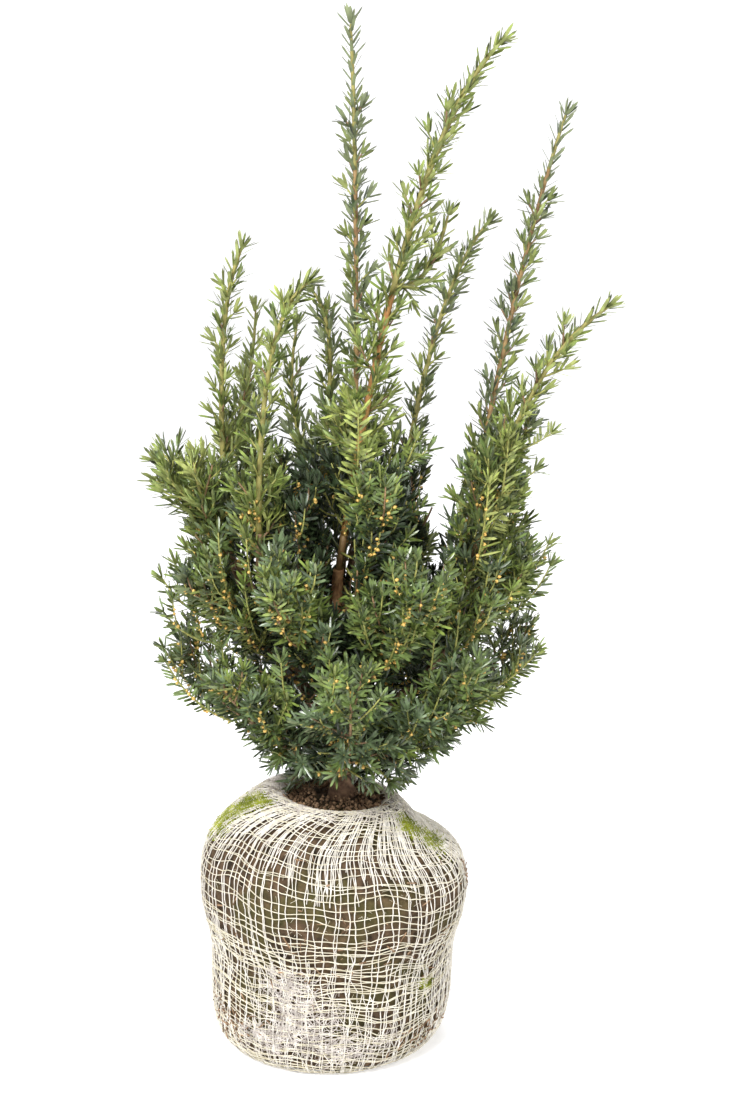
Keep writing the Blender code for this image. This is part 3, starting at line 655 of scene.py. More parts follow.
# Needles: length, width, spacing and lean along an axis. Widths and lengths are a little over life size.
NEEDLE_LENGTHS = {"leader": 0.0146, "crown": 0.0128}
NEEDLE_WIDTHS = {"leader": 0.0026, "crown": 0.0023}
NEEDLE_SPACING = {"stem": 0.0026, "leader": 0.0023, "crown": 0.00160}
NEEDLE_LEAN = {
    "stem": ((0.0, 50), (0.5, 46), (0.9, 42), (1.0, 40)),
    "leader": ((0.0, 50), (0.5, 44), (0.9, 38), (1.0, 34)),
    "crown": ((0.0, 70), (0.6, 63), (0.9, 53), (1.0, 42)),
}
NEEDLE_LEVEL = 0.35
NEEDLE_RAISED = (12, 16)
TOP_NEEDLE_EVERY = 5
NEEDLE_FACES_AXIS = 0.35
NEEDLE_TURNED = 0.22
NEEDLE_STATIONS = ((0.15, 0.92), (0.79, 0.88))
NEEDLE_MIDDLE = 0.47
NEEDLE_RIDGE = 0.15
NEEDLE_BOW = 0.06
TUFT_NEEDLES = {"leader": 5, "crown": 8, "stem": 10}
FLAT_SPRAYS = ((0.25, 0.20), (0.36, 0.80))
TUFT_LEAN = {"leader": (8, 48), "crown": (14, 70), "stem": (10, 58)}
MOST_NEEDLES = 18000
NEEDLES_BELOW_FRINGE = 0.008
FAN_NEEDLES_LONGER = 1.28


def facing_of(place, tangent):
    """The way a spray's upper side looks: up and out of the crown, square to its twig."""
    outward = Vector((place.x - CROWN_MIDDLE[0], place.y - CROWN_MIDDLE[1], 0.0))
    facing = UP * 0.7 + outward.normalized() * 0.7
    facing -= tangent * facing.dot(tangent)
    return facing.normalized() if facing.length > 0.05 else tangent.orthogonal().normalized()


def ranked_radial(facing, tangent, index, chance):
    """The way a needle of a flat spray leaves its twig: left or right of it, now and then on top."""
    side = tangent.cross(facing) * (1 if index % 2 else -1)
    raised = math.radians(chance.gauss(*NEEDLE_RAISED))
    if index % TOP_NEEDLE_EVERY == 0:
        raised = math.radians(chance.uniform(30, 90))
    return side * math.cos(raised) + facing * math.sin(raised)


def wound_radial(facing, tangent, turn):
    """The way a needle leaves an axis that carries its needles all round."""
    return facing * math.cos(turn) + tangent.cross(facing) * math.sin(turn)


def needles_on(axis, chance):
    """Base, direction, normal, length and width of each needle of one axis, and of the tuft at its tip."""
    kind = "leader" if axis.leader else "crown"
    place_kind = "stem" if axis.leader and axis.order == 0 else kind
    spacing = NEEDLE_SPACING[place_kind]
    run = length_of(axis.points) * (1 - axis.first_needle)
    count = max(3, round(run / spacing))
    start = chance.uniform(0, 2 * math.pi)
    flat_share = 1.0 if axis.tint == "lime" else between(FLAT_SPRAYS, axis.points[-1].z)
    flat = kind == "crown" and chance.random() < flat_share
    rows = []
    for index in range(count + TUFT_NEEDLES[place_kind]):
        part = min((index + 0.5) / count, 1.0)
        place, tangent = along(axis.points, axis.first_needle + (1 - axis.first_needle) * part)
        facing = facing_of(place, tangent)
        lean = math.radians(between(NEEDLE_LEAN[place_kind], part) * chance.uniform(0.85, 1.15))
        if index >= count:
            lean = math.radians(chance.uniform(*TUFT_LEAN[place_kind]))
        ranked = flat and index < count
        if ranked:
            radial = ranked_radial(facing, tangent, index, chance)
        else:
            radial = wound_radial(facing, tangent, start + index * GOLDEN_ANGLE)
        direction = tangent * math.cos(lean) + radial * math.sin(lean)
        normal = facing + tangent * NEEDLE_FACES_AXIS if ranked else tangent + facing * NEEDLE_LEVEL
        normal = (normal - direction * normal.dot(direction)).normalized()
        turned = direction.cross(normal) * chance.uniform(-NEEDLE_TURNED, NEEDLE_TURNED)
        normal = (normal + turned).normalized()
        reach = NEEDLE_LENGTHS[kind] * chance.uniform(0.80, 1.12)
        if index < count and place_kind != "stem":
            reach *= 1.0 - 0.25 * abs(2 * part - 1) ** 3
        if axis.tint == "lime" and ranked:
            reach *= FAN_NEEDLES_LONGER
        width = NEEDLE_WIDTHS[kind] * chance.uniform(0.85, 1.12)
        rows.append((*(place + radial * 0.0004), *direction, *normal, reach, width))
    return rows


# A needle's outline runs round from its foot over the two right corners, its tip and the two left ones. The
# upper sheet is a fan about a raised middle, the lower one is flat and looks down.
NEEDLE_UPPER = ((6, 0, 1), (6, 1, 2), (6, 2, 3), (6, 3, 4), (6, 4, 5), (6, 5, 0))
NEEDLE_LOWER = ((7, 12, 8), (12, 11, 9), (12, 9, 8), (11, 10, 9))


def needle_meshes(rows):
    """Vertices and faces of many needles at once: the upper sheets' faces and the lower sheets'."""
    rows = np.asarray(rows)
    base, direction, normal = rows[:, 0:3], rows[:, 3:6], rows[:, 6:9]
    reach, width = rows[:, 9:10], rows[:, 10:11]
    across = np.cross(direction, normal)

    def at(share, sideways=0.0, raised=0.0):
        spine = base + direction * reach * share + normal * reach * NEEDLE_BOW * share ** 2
        return spine + across * width * 0.5 * sideways + normal * width * raised

    (low, low_wide), (high, high_wide) = NEEDLE_STATIONS
    outline = [at(0), at(low, low_wide), at(high, high_wide), at(1), at(high, -high_wide), at(low, -low_wide)]
    vertices = np.stack([*outline, at(NEEDLE_MIDDLE, 0.0, NEEDLE_RIDGE), *outline], axis=1)
    step = vertices.shape[1] * np.arange(len(rows))[:, None, None]
    upper, lower = np.array(NEEDLE_UPPER) + step, np.array(NEEDLE_LOWER) + step
    return vertices.reshape(-1, 3), upper.reshape(-1, 3), lower.reshape(-1, 3)


# Buds: the share of twigs that bear them, how closely, how big they are, and between which heights.
FERTILE_TWIGS = 0.50
BUD_SPACING = 0.0026
BUD_CHANCE = 0.44
BUD_RADIUS = 0.00150
BUD_HEIGHTS = (0.24, 0.47)
BUDS_OUTWARD = 0.7


def bud_mesh(place, direction, radius):
    """A small oval bud: two rings of five, turned against each other, that narrow to its point."""
    side = direction.orthogonal().normalized()
    across = direction.cross(side)
    vertices = [place - direction * radius * 1.1]
    for height, wide, turned in ((-0.40, 0.92, 0.0), (0.50, 0.84, 0.5)):
        for corner in range(5):
            turn = (corner + turned) * math.pi * 2 / 5
            offset = (side * math.cos(turn) + across * math.sin(turn)) * radius * wide
            vertices.append(place + direction * radius * height + offset)
    vertices.append(place + direction * radius * 1.25)
    faces = []
    for corner in range(5):
        following = (corner + 1) % 5
        faces += [(0, 1 + following, 1 + corner), (6 + corner, 6 + following, 11)]
        faces += [(1 + corner, 1 + following, 6 + corner), (1 + following, 6 + following, 6 + corner)]
    return [tuple(vertex) for vertex in vertices], faces


def ball_outline(steps=12):
    """The root ball's outline as a smooth line, with the length of the way along it at each point."""
    outline = [Vector((*point, 0)) for point in BALL_OUTLINE]
    outline = [outline[0] * 2 - outline[1], *outline, outline[-1] * 2 - outline[-2]]
    points = []
    for a, b, c, d in zip(outline, outline[1:], outline[2:], outline[3:]):
        for step in range(steps):
            t = step / steps
            points.append(0.5 * (2 * b + (c - a) * t + (2 * a - 5 * b + 4 * c - d) * t ** 2
                                 + (3 * b - a - 3 * c + d) * t ** 3))
    points.append(outline[-2])
    line = np.array([(point.x, max(point.y, 0.0)) for point in points])
    way = np.concatenate([[0], np.cumsum(np.linalg.norm(np.diff(line, axis=0), axis=1))])
    return line, way


OUTLINE, OUTLINE_WAY = ball_outline()
OUTLINE_SLOPE = np.gradient(OUTLINE, axis=0)
OUTLINE_SLOPE /= np.linalg.norm(OUTLINE_SLOPE, axis=1)[:, None]
BALL_WAY = OUTLINE_WAY[-1]


def on_ball(angle, way, lift):
    """Points on the root ball at bearings and at distances down its outline, raised off it by a lift."""
    radius = np.interp(way, OUTLINE_WAY, OUTLINE[:, 0])
    height = np.interp(way, OUTLINE_WAY, OUTLINE[:, 1])
    out = -np.interp(way, OUTLINE_WAY, OUTLINE_SLOPE[:, 1])
    rise = np.interp(way, OUTLINE_WAY, OUTLINE_SLOPE[:, 0])
    rising = np.clip((height - BALL_TILT_FROM) / (SOIL_TOP - BALL_TILT_FROM), 0, 1)
    off_the_neck = np.clip((radius - BALL_OUTLINE[0][0]) / BALL_NECK_WIDENS, 0, 1)
    bulging = np.sin(np.pi * np.clip(height / SOIL_TOP, 0, 1))
    lump = sum(strength * np.cos(turns * angle + start + climb * height)
               for strength, turns, start, climb in BALL_WAVES)
    swollen = radius * (1 + BALL_LUMP * lump * bulging) + out * lift
    x, y = swollen * np.cos(angle), swollen * np.sin(angle)
    sinking = np.maximum(np.cos(angle - BALL_SINKS_TOWARDS), 0)
    sinking = sinking * np.exp(-((radius - BALL_SINKS_AT) / BALL_SINKS_WITHIN) ** 2)
    drop = (BALL_SHOULDER_TILT * x + BALL_SINKS * sinking) * rising * off_the_neck
    leaning = np.clip(1 - height / BALL_LEAN_TO, 0, 1)
    z = np.maximum(height - drop + rise * lift, 0.0004)
    return np.stack([x + BALL_LEAN[0] * leaning, y + BALL_LEAN[1] * leaning, z], axis=-1)


SOIL_COLUMNS, SOIL_ROWS = 250, 126
SOIL_DEPTH = 0.0012


def soil_mesh():
    """The root ball's soil: clods and crumbs on its outline, level inside the neck and below."""
    angles = 2 * np.pi * np.arange(SOIL_COLUMNS) / SOIL_COLUMNS
    ways = np.linspace(0, BALL_WAY, SOIL_ROWS)
    grid = on_ball(angles[None, :].repeat(SOIL_ROWS, 0), ways[:, None].repeat(SOIL_COLUMNS, 1), -SOIL_DEPTH)
    outward = on_ball(angles[None, :], ways[:, None], 0.001) - on_ball(angles[None, :], ways[:, None], 0.0)
    outward /= np.maximum(np.linalg.norm(outward, axis=2), 1e-9)[:, :, None]
    flat = grid.reshape(-1, 3)
    clods = np.array([noise.fractal(Vector(point) * 60, 0.9, 2.1, 5) for point in flat])
    crumbs = np.array([max(0.0, noise.noise(Vector(point) * 420)) for point in flat])
    foot = np.clip(flat[:, 2] / 0.012, 0, 1)
    push = (clods * 0.0016 + crumbs * 0.0011) * foot
    flat = flat + outward.reshape(-1, 3) * push[:, None]
    flat[:, 2] = np.maximum(flat[:, 2], 0.0)
    faces = []
    for row in range(SOIL_ROWS - 1):
        for column in range(SOIL_COLUMNS):
            following = (column + 1) % SOIL_COLUMNS
            low, high = row * SOIL_COLUMNS, (row + 1) * SOIL_COLUMNS
            faces.append((low + column, high + column, high + following, low + following))
    faces.append(tuple(range(SOIL_COLUMNS)))
    faces.append(tuple(reversed([(SOIL_ROWS - 1) * SOIL_COLUMNS + column for column in range(SOIL_COLUMNS)])))
    return flat, faces


# Netting: how far down the outline it begins, how many yarns run down, and how thick they are.
NET_FROM = 0.026
NET_TO = BALL_WAY
NET_UPRIGHTS = 106
YARN_RADIUS = 0.00042
YARN_LIFT = 0.0007
HOOP_SPACING = (
    (0.0, 0.0017), (0.014, 0.0022), (0.026, 0.0034), (0.046, 0.0052), (0.070, 0.0064), (0.200, 0.0064),
    (0.250, 0.0045),
)
NET_TURN_WAVES = ((0.040, 2, 1.0, 10), (0.018, 5, 2.0, -16), (0.010, 9, 0.4, 24))
NET_SLIP_WAVES = ((0.0040, 2, 0.3, 7), (0.0024, 5, 1.1, 16), (0.0012, 11, 2.6, -40))
NECK_TWIST = 0.55
NECK_TWIST_WITHIN = 0.060
YARN_WANDER = ((0.0008, 130), (0.0003, 380))
DOUBLED_YARNS = 0.16
DOUBLED_GAP = 0.012

# The second layer low down, and the bands where more yarns run close together.
SECOND_NET_FROM = 0.145
SECOND_UPRIGHTS = 84
SECOND_HOOPS = 18
SECOND_WILDNESS = 3.0
HOOP_TILT, SECOND_HOOP_TILT = 0.0035, 0.0100
EXTRA_YARNS = (
    (-98, 14, 0.050, 0.115, 14),
    (-62, 16, 0.046, 0.100, 12),
    (-130, 14, 0.040, 0.080, 10),
    (-25, 25, 0.060, 0.120, 12),
    (-78, 75, 0.034, 0.105, 66),
    (105, 110, 0.034, 0.100, 66),
    (90, 90, 0.050, 0.150, 40),
)


def drift(angle, way, waves):
    return sum(strength * np.cos(turns * angle + start + climb * way) for strength, turns, start, climb in waves)


def wander(along_it, chance):
    """A small sideways wander of one yarn along its own length."""
    return sum(size * chance.uniform(0.5, 1.5) * np.cos(pace * chance.uniform(0.6, 1.4) * along_it
                                                       + chance.uniform(0, 6.28))
               for size, pace in YARN_WANDER)


def yarn_line(angle, way, chance):
    """Points of a yarn on the ball, pulled about with the whole net and twisted with it at the neck."""
    loose = np.clip((way - NET_FROM) / 0.03, 0, 1)
    twisted = NECK_TWIST * np.clip(1 - (way - NET_FROM) / NECK_TWIST_WITHIN, 0, 1) ** 2
    turned = angle + twisted + drift(angle, way, NET_TURN_WAVES) * loose
    slipped = np.clip(way + drift(angle, way, NET_SLIP_WAVES) * loose, NET_FROM - 0.008, NET_TO)
    bulge = 0.5 + 0.5 * np.cos(way * chance.uniform(300, 700) + angle * chance.uniform(20, 60))
    return on_ball(turned, slipped, YARN_LIFT + 0.0007 * bulge)


def add_yarn(heap, line, radius, sides=4):
    centre = line.mean(axis=0) * (1, 1, 0)
    heap.add(*tube(line, np.full(len(line), radius), sides, side=line[0] - centre))


def add_upright(heap, angle, top, bottom, slant, thickness, chance, wildness=1.0):
    way = np.linspace(top, bottom, max(4, round((bottom - top) / 0.0044)))
    angles = angle + slant * (way - top) / 0.12 + wander(way, chance) * wildness / 0.1
    add_yarn(heap, yarn_line(angles, way, chance), YARN_RADIUS * thickness)
    if chance.random() < DOUBLED_YARNS:
        beside = angles + DOUBLED_GAP * chance.uniform(0.8, 1.3) + wander(way, chance) / 0.2
        add_yarn(heap, yarn_line(beside, way, chance), YARN_RADIUS * thickness * 0.8)


def net_uprights(chance):
    heap = TubeHeap()
    for index in range(NET_UPRIGHTS):
        angle = 2 * math.pi * (index + chance.uniform(-0.3, 0.3)) / NET_UPRIGHTS
        top = NET_FROM - chance.uniform(0.0, 0.007)
        add_upright(heap, angle, top, NET_TO, chance.uniform(-0.02, 0.02), chance.uniform(0.85, 1.15), chance)
    for index in range(SECOND_UPRIGHTS):
        angle = 2 * math.pi * (index + chance.uniform(-0.5, 0.5)) / SECOND_UPRIGHTS
        top = SECOND_NET_FROM + chance.uniform(0, 0.05)
        slant, thickness = chance.gauss(0, 0.26), chance.uniform(0.7, 1.0)
        add_upright(heap, angle, top, NET_TO, slant, thickness, chance, SECOND_WILDNESS)
    for bearing, spread, top, bottom, count in EXTRA_YARNS:
        for _ in range(count):
            angle = math.radians(bearing + chance.uniform(-spread, spread))
            length = (bottom - top) * chance.uniform(0.5, 1.0)
            begin = chance.uniform(top, bottom - length)
            add_upright(heap, angle, begin, begin + length, chance.gauss(0, 0.05),
                        chance.uniform(0.65, 1.0), chance)
    return heap


def net_hoops(chance):
    heap = TubeHeap()
    way, places = NET_FROM, []
    while way < NET_TO:
        places.append(way)
        if way > NET_FROM + 0.04 and chance.random() < DOUBLED_YARNS:
            places.append(way + chance.uniform(0.0009, 0.0018))
        way += between(HOOP_SPACING, way - NET_FROM) * chance.uniform(0.8, 1.2)
    hoops = [(place, HOOP_TILT) for place in places]
    hoops += [(SECOND_NET_FROM + (NET_TO - SECOND_NET_FROM) * (index + 0.5) / SECOND_HOOPS, SECOND_HOOP_TILT)
              for index in range(SECOND_HOOPS)]
    around = np.linspace(0, 2 * np.pi, 136)
    for place, most_tilt in hoops:
        start = chance.uniform(0, 6.28)
        tilt = most_tilt * chance.uniform(-1, 1)
        way = place + tilt * np.cos(around + start) + 0.0010 * np.cos(7 * around + start * 3)
        way = way + wander(around * 0.1, chance) * 1.2
        add_yarn(heap, yarn_line(around + start, way, chance), YARN_RADIUS * chance.uniform(0.8, 1.1))
    return heap


# Matted and frayed netting: bearing in degrees, way down the outline, spread of both, and strands.
MATTED = (
    (-104, 0.216, 0.36, 0.028, 330),
    (-112, 0.188, 0.22, 0.012, 120),
    (-122, 0.238, 0.34, 0.012, 160),
    (-80, 0.240, 0.34, 0.012, 150),
    (165, 0.027, 0.7, 0.004, 240),
    (-60, 0.034, 1.6, 0.006, 180),
    (120, 0.034, 1.6, 0.006, 120),
    (-120, 0.026, 0.16, 0.004, 110),
    (150, 0.040, 0.30, 0.010, 110),
    (70, 0.215, 0.5, 0.025, 200),
)
FRAY_COUNT = 1000


def matted_strands():
    heap = TubeHeap()
    chance = random.Random("matted")
    for bearing, way, spread, drop, count in MATTED:
        for _ in range(count):
            angle = math.radians(bearing) + chance.gauss(0, spread / 2)
            place = way + chance.gauss(0, drop / 2)
            heading, bend = chance.uniform(0, 6.28), chance.uniform(-0.6, 0.6)
            angles, ways = [], []
            for _ in range(chance.randint(5, 10)):
                angles.append(angle)
                ways.append(min(max(place, NET_FROM - 0.004), NET_TO))
                angle += math.cos(heading) * 0.0021 / 0.1
                place += math.sin(heading) * 0.0021
                heading += bend + chance.uniform(-0.5, 0.5)
            lifts = YARN_LIFT * np.array([0.4 + chance.uniform(0, 2.2) for _ in angles])
            line = on_ball(np.array(angles), np.array(ways), lifts)
            add_yarn(heap, line, YARN_RADIUS * chance.uniform(0.40, 0.90), 3)
    return heap


def frayed_fibres():
    """Short thin fibres that stand off the netting all over the ball."""
    heap = TubeHeap()
    chance = random.Random("frayed")
    for _ in range(FRAY_COUNT):
        angle, way = chance.uniform(0, 6.28), chance.uniform(NET_FROM, NET_TO - 0.012)
        turn, slide = chance.uniform(-0.05, 0.05), chance.uniform(-0.006, 0.006)
        steps = np.linspace(0, 1, 5)
        lifts = YARN_LIFT + chance.uniform(0.0008, 0.0034) * steps ** 1.5
        line = on_ball(angle + turn * steps, np.clip(way + slide * steps, 0, NET_TO), lifts)
        add_yarn(heap, line, 0.00013, 3)
    return heap


CRUMB_COUNT = 680
CRUMB_WAY = (0.0, 0.026)
CRUMB_MOUND = 0.0095
CRUMB_MOUND_TO = 0.018
CRUMB_RADII = (0.0008, 0.0026)
CRUMB_CORNERS = [Vector(corner) for corner in ((1, 0, 0), (-1, 0, 0), (0, 1, 0), (0, -1, 0), (0, 0, 1), (0, 0, -1))]
CRUMB_FACES = ((0, 2, 4), (2, 1, 4), (1, 3, 4), (3, 0, 4), (2, 0, 5), (1, 2, 5), (3, 1, 5), (0, 3, 5))


def soil_crumbs():
    """Loose clods that lie on the soil inside the netting's neck, round the trunk's foot."""
    heap = Heap()
    chance = random.Random("crumbs")
    for _ in range(CRUMB_COUNT):
        way = chance.uniform(*CRUMB_WAY)
        heaped = CRUMB_MOUND * chance.random() * max(0.0, 1 - way / CRUMB_MOUND_TO)
        place = Vector(on_ball(chance.uniform(0, 6.28), way, heaped))
        radius = chance.triangular(*CRUMB_RADII, CRUMB_RADII[0])
        corners = [place + corner * radius * chance.uniform(0.6, 1.3) for corner in CRUMB_CORNERS]
        heap.add([tuple(corner) for corner in corners], CRUMB_FACES)
    return heap


# Rootlets and bark fragments caught in the netting: bearing in degrees, way down, spread of both, and how many.
ROOTLETS = (
    (-8, 0.118, 0.10, 0.010, 26),
    (-35, 0.245, 0.40, 0.010, 50),
    (-150, 0.235, 0.45, 0.018, 70),
    (-90, 0.150, 1.40, 0.060, 60),
    (90, 0.200, 1.60, 0.050, 80),
    (-90, 0.015, 2.20, 0.008, 90),
)


def rootlets():
    heap = TubeHeap()
    chance = random.Random("rootlets")
    for bearing, way, spread, drop, count in ROOTLETS:
        for _ in range(count):
            angle = math.radians(bearing) + chance.gauss(0, spread / 2)
            place = min(way + chance.gauss(0, drop / 2), NET_TO - 0.010)
            steps = np.linspace(0, 1, 4)
            turn, slide = chance.gauss(0, 0.05), chance.gauss(0, 0.005)
            lifts = 0.0006 + chance.uniform(0.0004, 0.0024) * steps
            line = on_ball(angle + turn * steps, np.clip(place + slide * steps, 0, NET_TO), lifts)
            add_yarn(heap, line, chance.uniform(0.0003, 0.0007), 3)
    return heap


# Moss: bearing in degrees, way down the outline, spread of both, and tufts.
MOSS = (
    (190, 0.058, 0.20, 0.014, 760),
    (183, 0.080, 0.22, 0.014, 560),
    (200, 0.046, 0.14, 0.006, 200),
    (-152, 0.044, 0.10, 0.005, 120),
    (-27, 0.050, 0.20, 0.010, 460),
    (-14, 0.068, 0.24, 0.014, 420),
    (60, 0.060, 0.40, 0.013, 300),
    (110, 0.080, 0.35, 0.016, 260),
    (-40, 0.200, 0.10, 0.008, 50),
)
MOSS_LEAVES = 4
MOSS_REACH = (0.0018, 0.0034)


def moss():
    heap = Heap()
    chance = random.Random("moss")
    for bearing, way, spread, drop, count in MOSS:
        for _ in range(count):
            angle = math.radians(bearing) + chance.gauss(0, spread / 2)
            place = way + chance.gauss(0, drop / 2)
            foot = Vector(on_ball(angle, place, -0.0006))
            out = (Vector(on_ball(angle, place, 0.001)) - foot).normalized()
            for _ in range(MOSS_LEAVES):
                lean = Vector((chance.gauss(0, 0.5), chance.gauss(0, 0.5), chance.gauss(0, 0.5)))
                aim = (out + lean).normalized()
                side = aim.orthogonal().normalized()
                across = aim.cross(side)
                root = foot + lean * 0.0012
                reach, wide = chance.uniform(*MOSS_REACH), 0.0005
                heap.add([tuple(root + side * wide), tuple(root - side * wide * 0.5 + across * wide),
                          tuple(root - side * wide * 0.5 - across * wide), tuple(root + aim * reach)],
                         [(0, 1, 3), (1, 2, 3), (2, 0, 3)])
    return heap


def bark_mesh(points, radii, sides, rings, relief, seed):
    """A limb with lengthwise ridges and flaking plates pushed out of its round."""
    fine = [along(points, share)[0] for share in np.linspace(0, 1, rings)]
    spread = np.interp(np.linspace(0, 1, rings), np.linspace(0, 1, len(radii)), radii)
    vertices, faces = tube(fine, spread, sides)
    centres = np.repeat(np.array([tuple(point) for point in fine]), sides, axis=0)
    outward = (vertices - centres)
    outward /= np.linalg.norm(outward, axis=1)[:, None]
    for index, vertex in enumerate(vertices):
        turn = 2 * math.pi * (index % sides) / sides
        ridge = noise.noise(Vector((math.cos(turn) * 2.2, math.sin(turn) * 2.2, vertex[2] * 55 + seed)))
        plate = noise.cell(Vector((math.cos(turn) * 1.6, math.sin(turn) * 1.6, vertex[2] * 120 + seed)))
        vertices[index] = vertex + outward[index] * relief * (ridge + 0.5 * plate)
    return vertices, faces


def new_material(name):
    made = bpy.data.materials.new(name)
    made.use_nodes = True
    nodes, links = made.node_tree.nodes, made.node_tree.links
    return made, nodes, links, nodes["Principled BSDF"]


def mottled(name, dark, light, scale, roughness, bump, distance, detail=4.0, specular=0.5, spread=0.18):
    """A surface whose colour wanders between two tones, with a bump of the same grain."""
    made, nodes, links, shader = new_material(name)
    place = nodes.new("ShaderNodeTexCoord")
    grain = nodes.new("ShaderNodeTexNoise")
    grain.inputs["Scale"].default_value = scale
    grain.inputs["Detail"].default_value = detail
    tones = nodes.new("ShaderNodeValToRGB")
    tones.color_ramp.elements[0].position = 0.5 - spread
    tones.color_ramp.elements[1].position = 0.5 + spread
    tones.color_ramp.elements[0].color = (*dark, 1.0)
    tones.color_ramp.elements[1].color = (*light, 1.0)
    relief = nodes.new("ShaderNodeBump")
    relief.inputs["Strength"].default_value = bump
    relief.inputs["Distance"].default_value = distance
    links.new(place.outputs["Object"], grain.inputs["Vector"])
    links.new(grain.outputs["Fac"], tones.inputs["Fac"])
    links.new(tones.outputs["Color"], shader.inputs["Base Color"])
    links.new(grain.outputs["Fac"], relief.inputs["Height"])
    links.new(relief.outputs["Normal"], shader.inputs["Normal"])
    shader.inputs["Roughness"].default_value = roughness
    shader.inputs["Specular IOR Level"].default_value = specular
    return made


NEEDLE_COLOURS = {
    # Painted shade: near-black green for the sprays inside the crown, where shade falls.
    "inner": ((0.024, 0.038, 0.016), (0.046, 0.060, 0.027)),
    "deep": ((0.068, 0.096, 0.046), (0.160, 0.190, 0.092)),
    "dark": ((0.077, 0.110, 0.032), (0.168, 0.203, 0.064)),
    "mid": ((0.102, 0.138, 0.030), (0.207, 0.243, 0.066)),
    "fresh": ((0.138, 0.174, 0.043), (0.257, 0.292, 0.092)),
    "lime": ((0.192, 0.224, 0.056), (0.317, 0.348, 0.112)),
}


def shaded(colour, share):
    return tuple(channel * share for channel in colour)


def needle_materials(tint):
    above, below = NEEDLE_COLOURS[tint]
    return (
        mottled(f"needle_{tint}_above", shaded(above, 0.40), shaded(above, 2.00), 110, 0.29, 0.25, 0.0003, spread=0.12),
        mottled(f"needle_{tint}_below", shaded(below, 0.70), shaded(below, 1.25), 110, 0.55, 0.15, 0.0003, spread=0.11),
    )


def soil_material():
    """Moist soil: brown clods with olive stains, pale roots' colour and a crumbly bump."""
    made, nodes, links, shader = new_material("soil")
    place = nodes.new("ShaderNodeTexCoord")
    clods = nodes.new("ShaderNodeTexNoise")
    clods.inputs["Scale"].default_value = 130
    clods.inputs["Detail"].default_value = 8
    browns = nodes.new("ShaderNodeValToRGB")
    browns.color_ramp.elements[0].position = 0.30
    browns.color_ramp.elements[0].color = (0.024, 0.017, 0.010, 1)
    browns.color_ramp.elements[1].position = 0.72
    browns.color_ramp.elements[1].color = (0.142, 0.090, 0.052, 1)
    stains = nodes.new("ShaderNodeTexNoise")
    stains.inputs["Scale"].default_value = 26
    stains.inputs["Detail"].default_value = 9
    olive = nodes.new("ShaderNodeValToRGB")
    olive.color_ramp.elements[0].position = 0.50
    olive.color_ramp.elements[0].color = (0, 0, 0, 1)
    olive.color_ramp.elements[1].position = 0.62
    olive.color_ramp.elements[1].color = (0.62, 0.62, 0.62, 1)
    mix = nodes.new("ShaderNodeMix")
    mix.data_type = "RGBA"
    mix.inputs["B"].default_value = (0.072, 0.068, 0.020, 1)
    relief = nodes.new("ShaderNodeBump")
    relief.inputs["Strength"].default_value = 0.6
    relief.inputs["Distance"].default_value = 0.001
    fine = nodes.new("ShaderNodeTexNoise")
    fine.inputs["Scale"].default_value = 700
    links.new(place.outputs["Object"], clods.inputs["Vector"])
    links.new(place.outputs["Object"], stains.inputs["Vector"])
    links.new(place.outputs["Object"], fine.inputs["Vector"])
    links.new(clods.outputs["Fac"], browns.inputs["Fac"])
    links.new(stains.outputs["Fac"], olive.inputs["Fac"])
    links.new(olive.outputs["Color"], mix.inputs["Factor"])
    links.new(browns.outputs["Color"], mix.inputs["A"])
    links.new(mix.outputs["Result"], shader.inputs["Base Color"])
    links.new(fine.outputs["Fac"], relief.inputs["Height"])
    links.new(relief.outputs["Normal"], shader.inputs["Normal"])
    shader.inputs["Roughness"].default_value = 0.95
    shader.inputs["Specular IOR Level"].default_value = 0.2
    return made


# Height above which the trunk takes its upper bark: its own orange-brown, painted lighter as painted light where the
# foliage shades it.
UPPER_BARK = 0.330


def build_limbs():
    """The trunk's and the boughs' bark, and the lines that twigs and needles stay clear of."""
    heap = TubeHeap()
    trunk = trunk_points(60)
    radii = [between(TRUNK_RADII, index / 60) for index in range(61)]
    vertices, faces = bark_mesh(trunk, radii, 32, 150, 0.0007, 0.0)
    heap.add(vertices, faces, [int(vertices[face[0]][2] > UPPER_BARK) for face in faces])
    limbs = [(trunk, radii)]
    for number, leader in enumerate(LEADERS):
        points = bough_points(leader, 24)
        spread = list(np.linspace(*BOUGH_RADII, len(points)))
        heap.add(*bark_mesh(points, spread, 12, 48, 0.0003, 10.0 * number))
        limbs.append((points, spread))
    bark = mottled("bark", (0.105, 0.058, 0.036), (0.330, 0.200, 0.122), 210, 0.85, 0.9, 0.0008, 6.0, 0.3)
    # The upper trunk's bark: partly its own orange-brown, partly painted light that lifts it out of the foliage's
    # shade.
    upper = mottled("bark_upper", (0.340, 0.160, 0.070), (0.780, 0.450, 0.220), 210, 0.85, 0.9, 0.0008, 6.0, 0.3)
    nodes = ["trunk", *("bough_" + leader.name.replace("_leader", "") for leader in LEADERS)]
    heap.piece("bark_limbs", [bark, upper], "bark", nodes)
    return limbs


TWIG_COLOURS = {
    "brown": ((0.120, 0.068, 0.034), (0.290, 0.180, 0.085)),
    "green": ((0.190, 0.200, 0.045), (0.360, 0.350, 0.095)),
    "orange": ((0.260, 0.105, 0.030), (0.430, 0.230, 0.065)),
    "russet": ((0.170, 0.090, 0.035), (0.300, 0.195, 0.070)),
    "olive": ((0.175, 0.155, 0.042), (0.310, 0.280, 0.080)),
}


def stem_bands(axis):
    """A leader's stem as runs of points with the bark that each has at its height."""
    radii = [axis.radii[0] * between(STEM_RADII, index / (len(axis.points) - 1))
             for index in range(len(axis.points))]
    first, bands = 0, []
    for bark, top in STEM_BARKS[axis.bark]:
        last = first
        while last < len(axis.points) - 1 and axis.points[last].z < top:
            last += 1
        if last > first:
            bands.append((bark, axis.points[first:last + 1], radii[first:last + 1]))
        first = last
    return bands


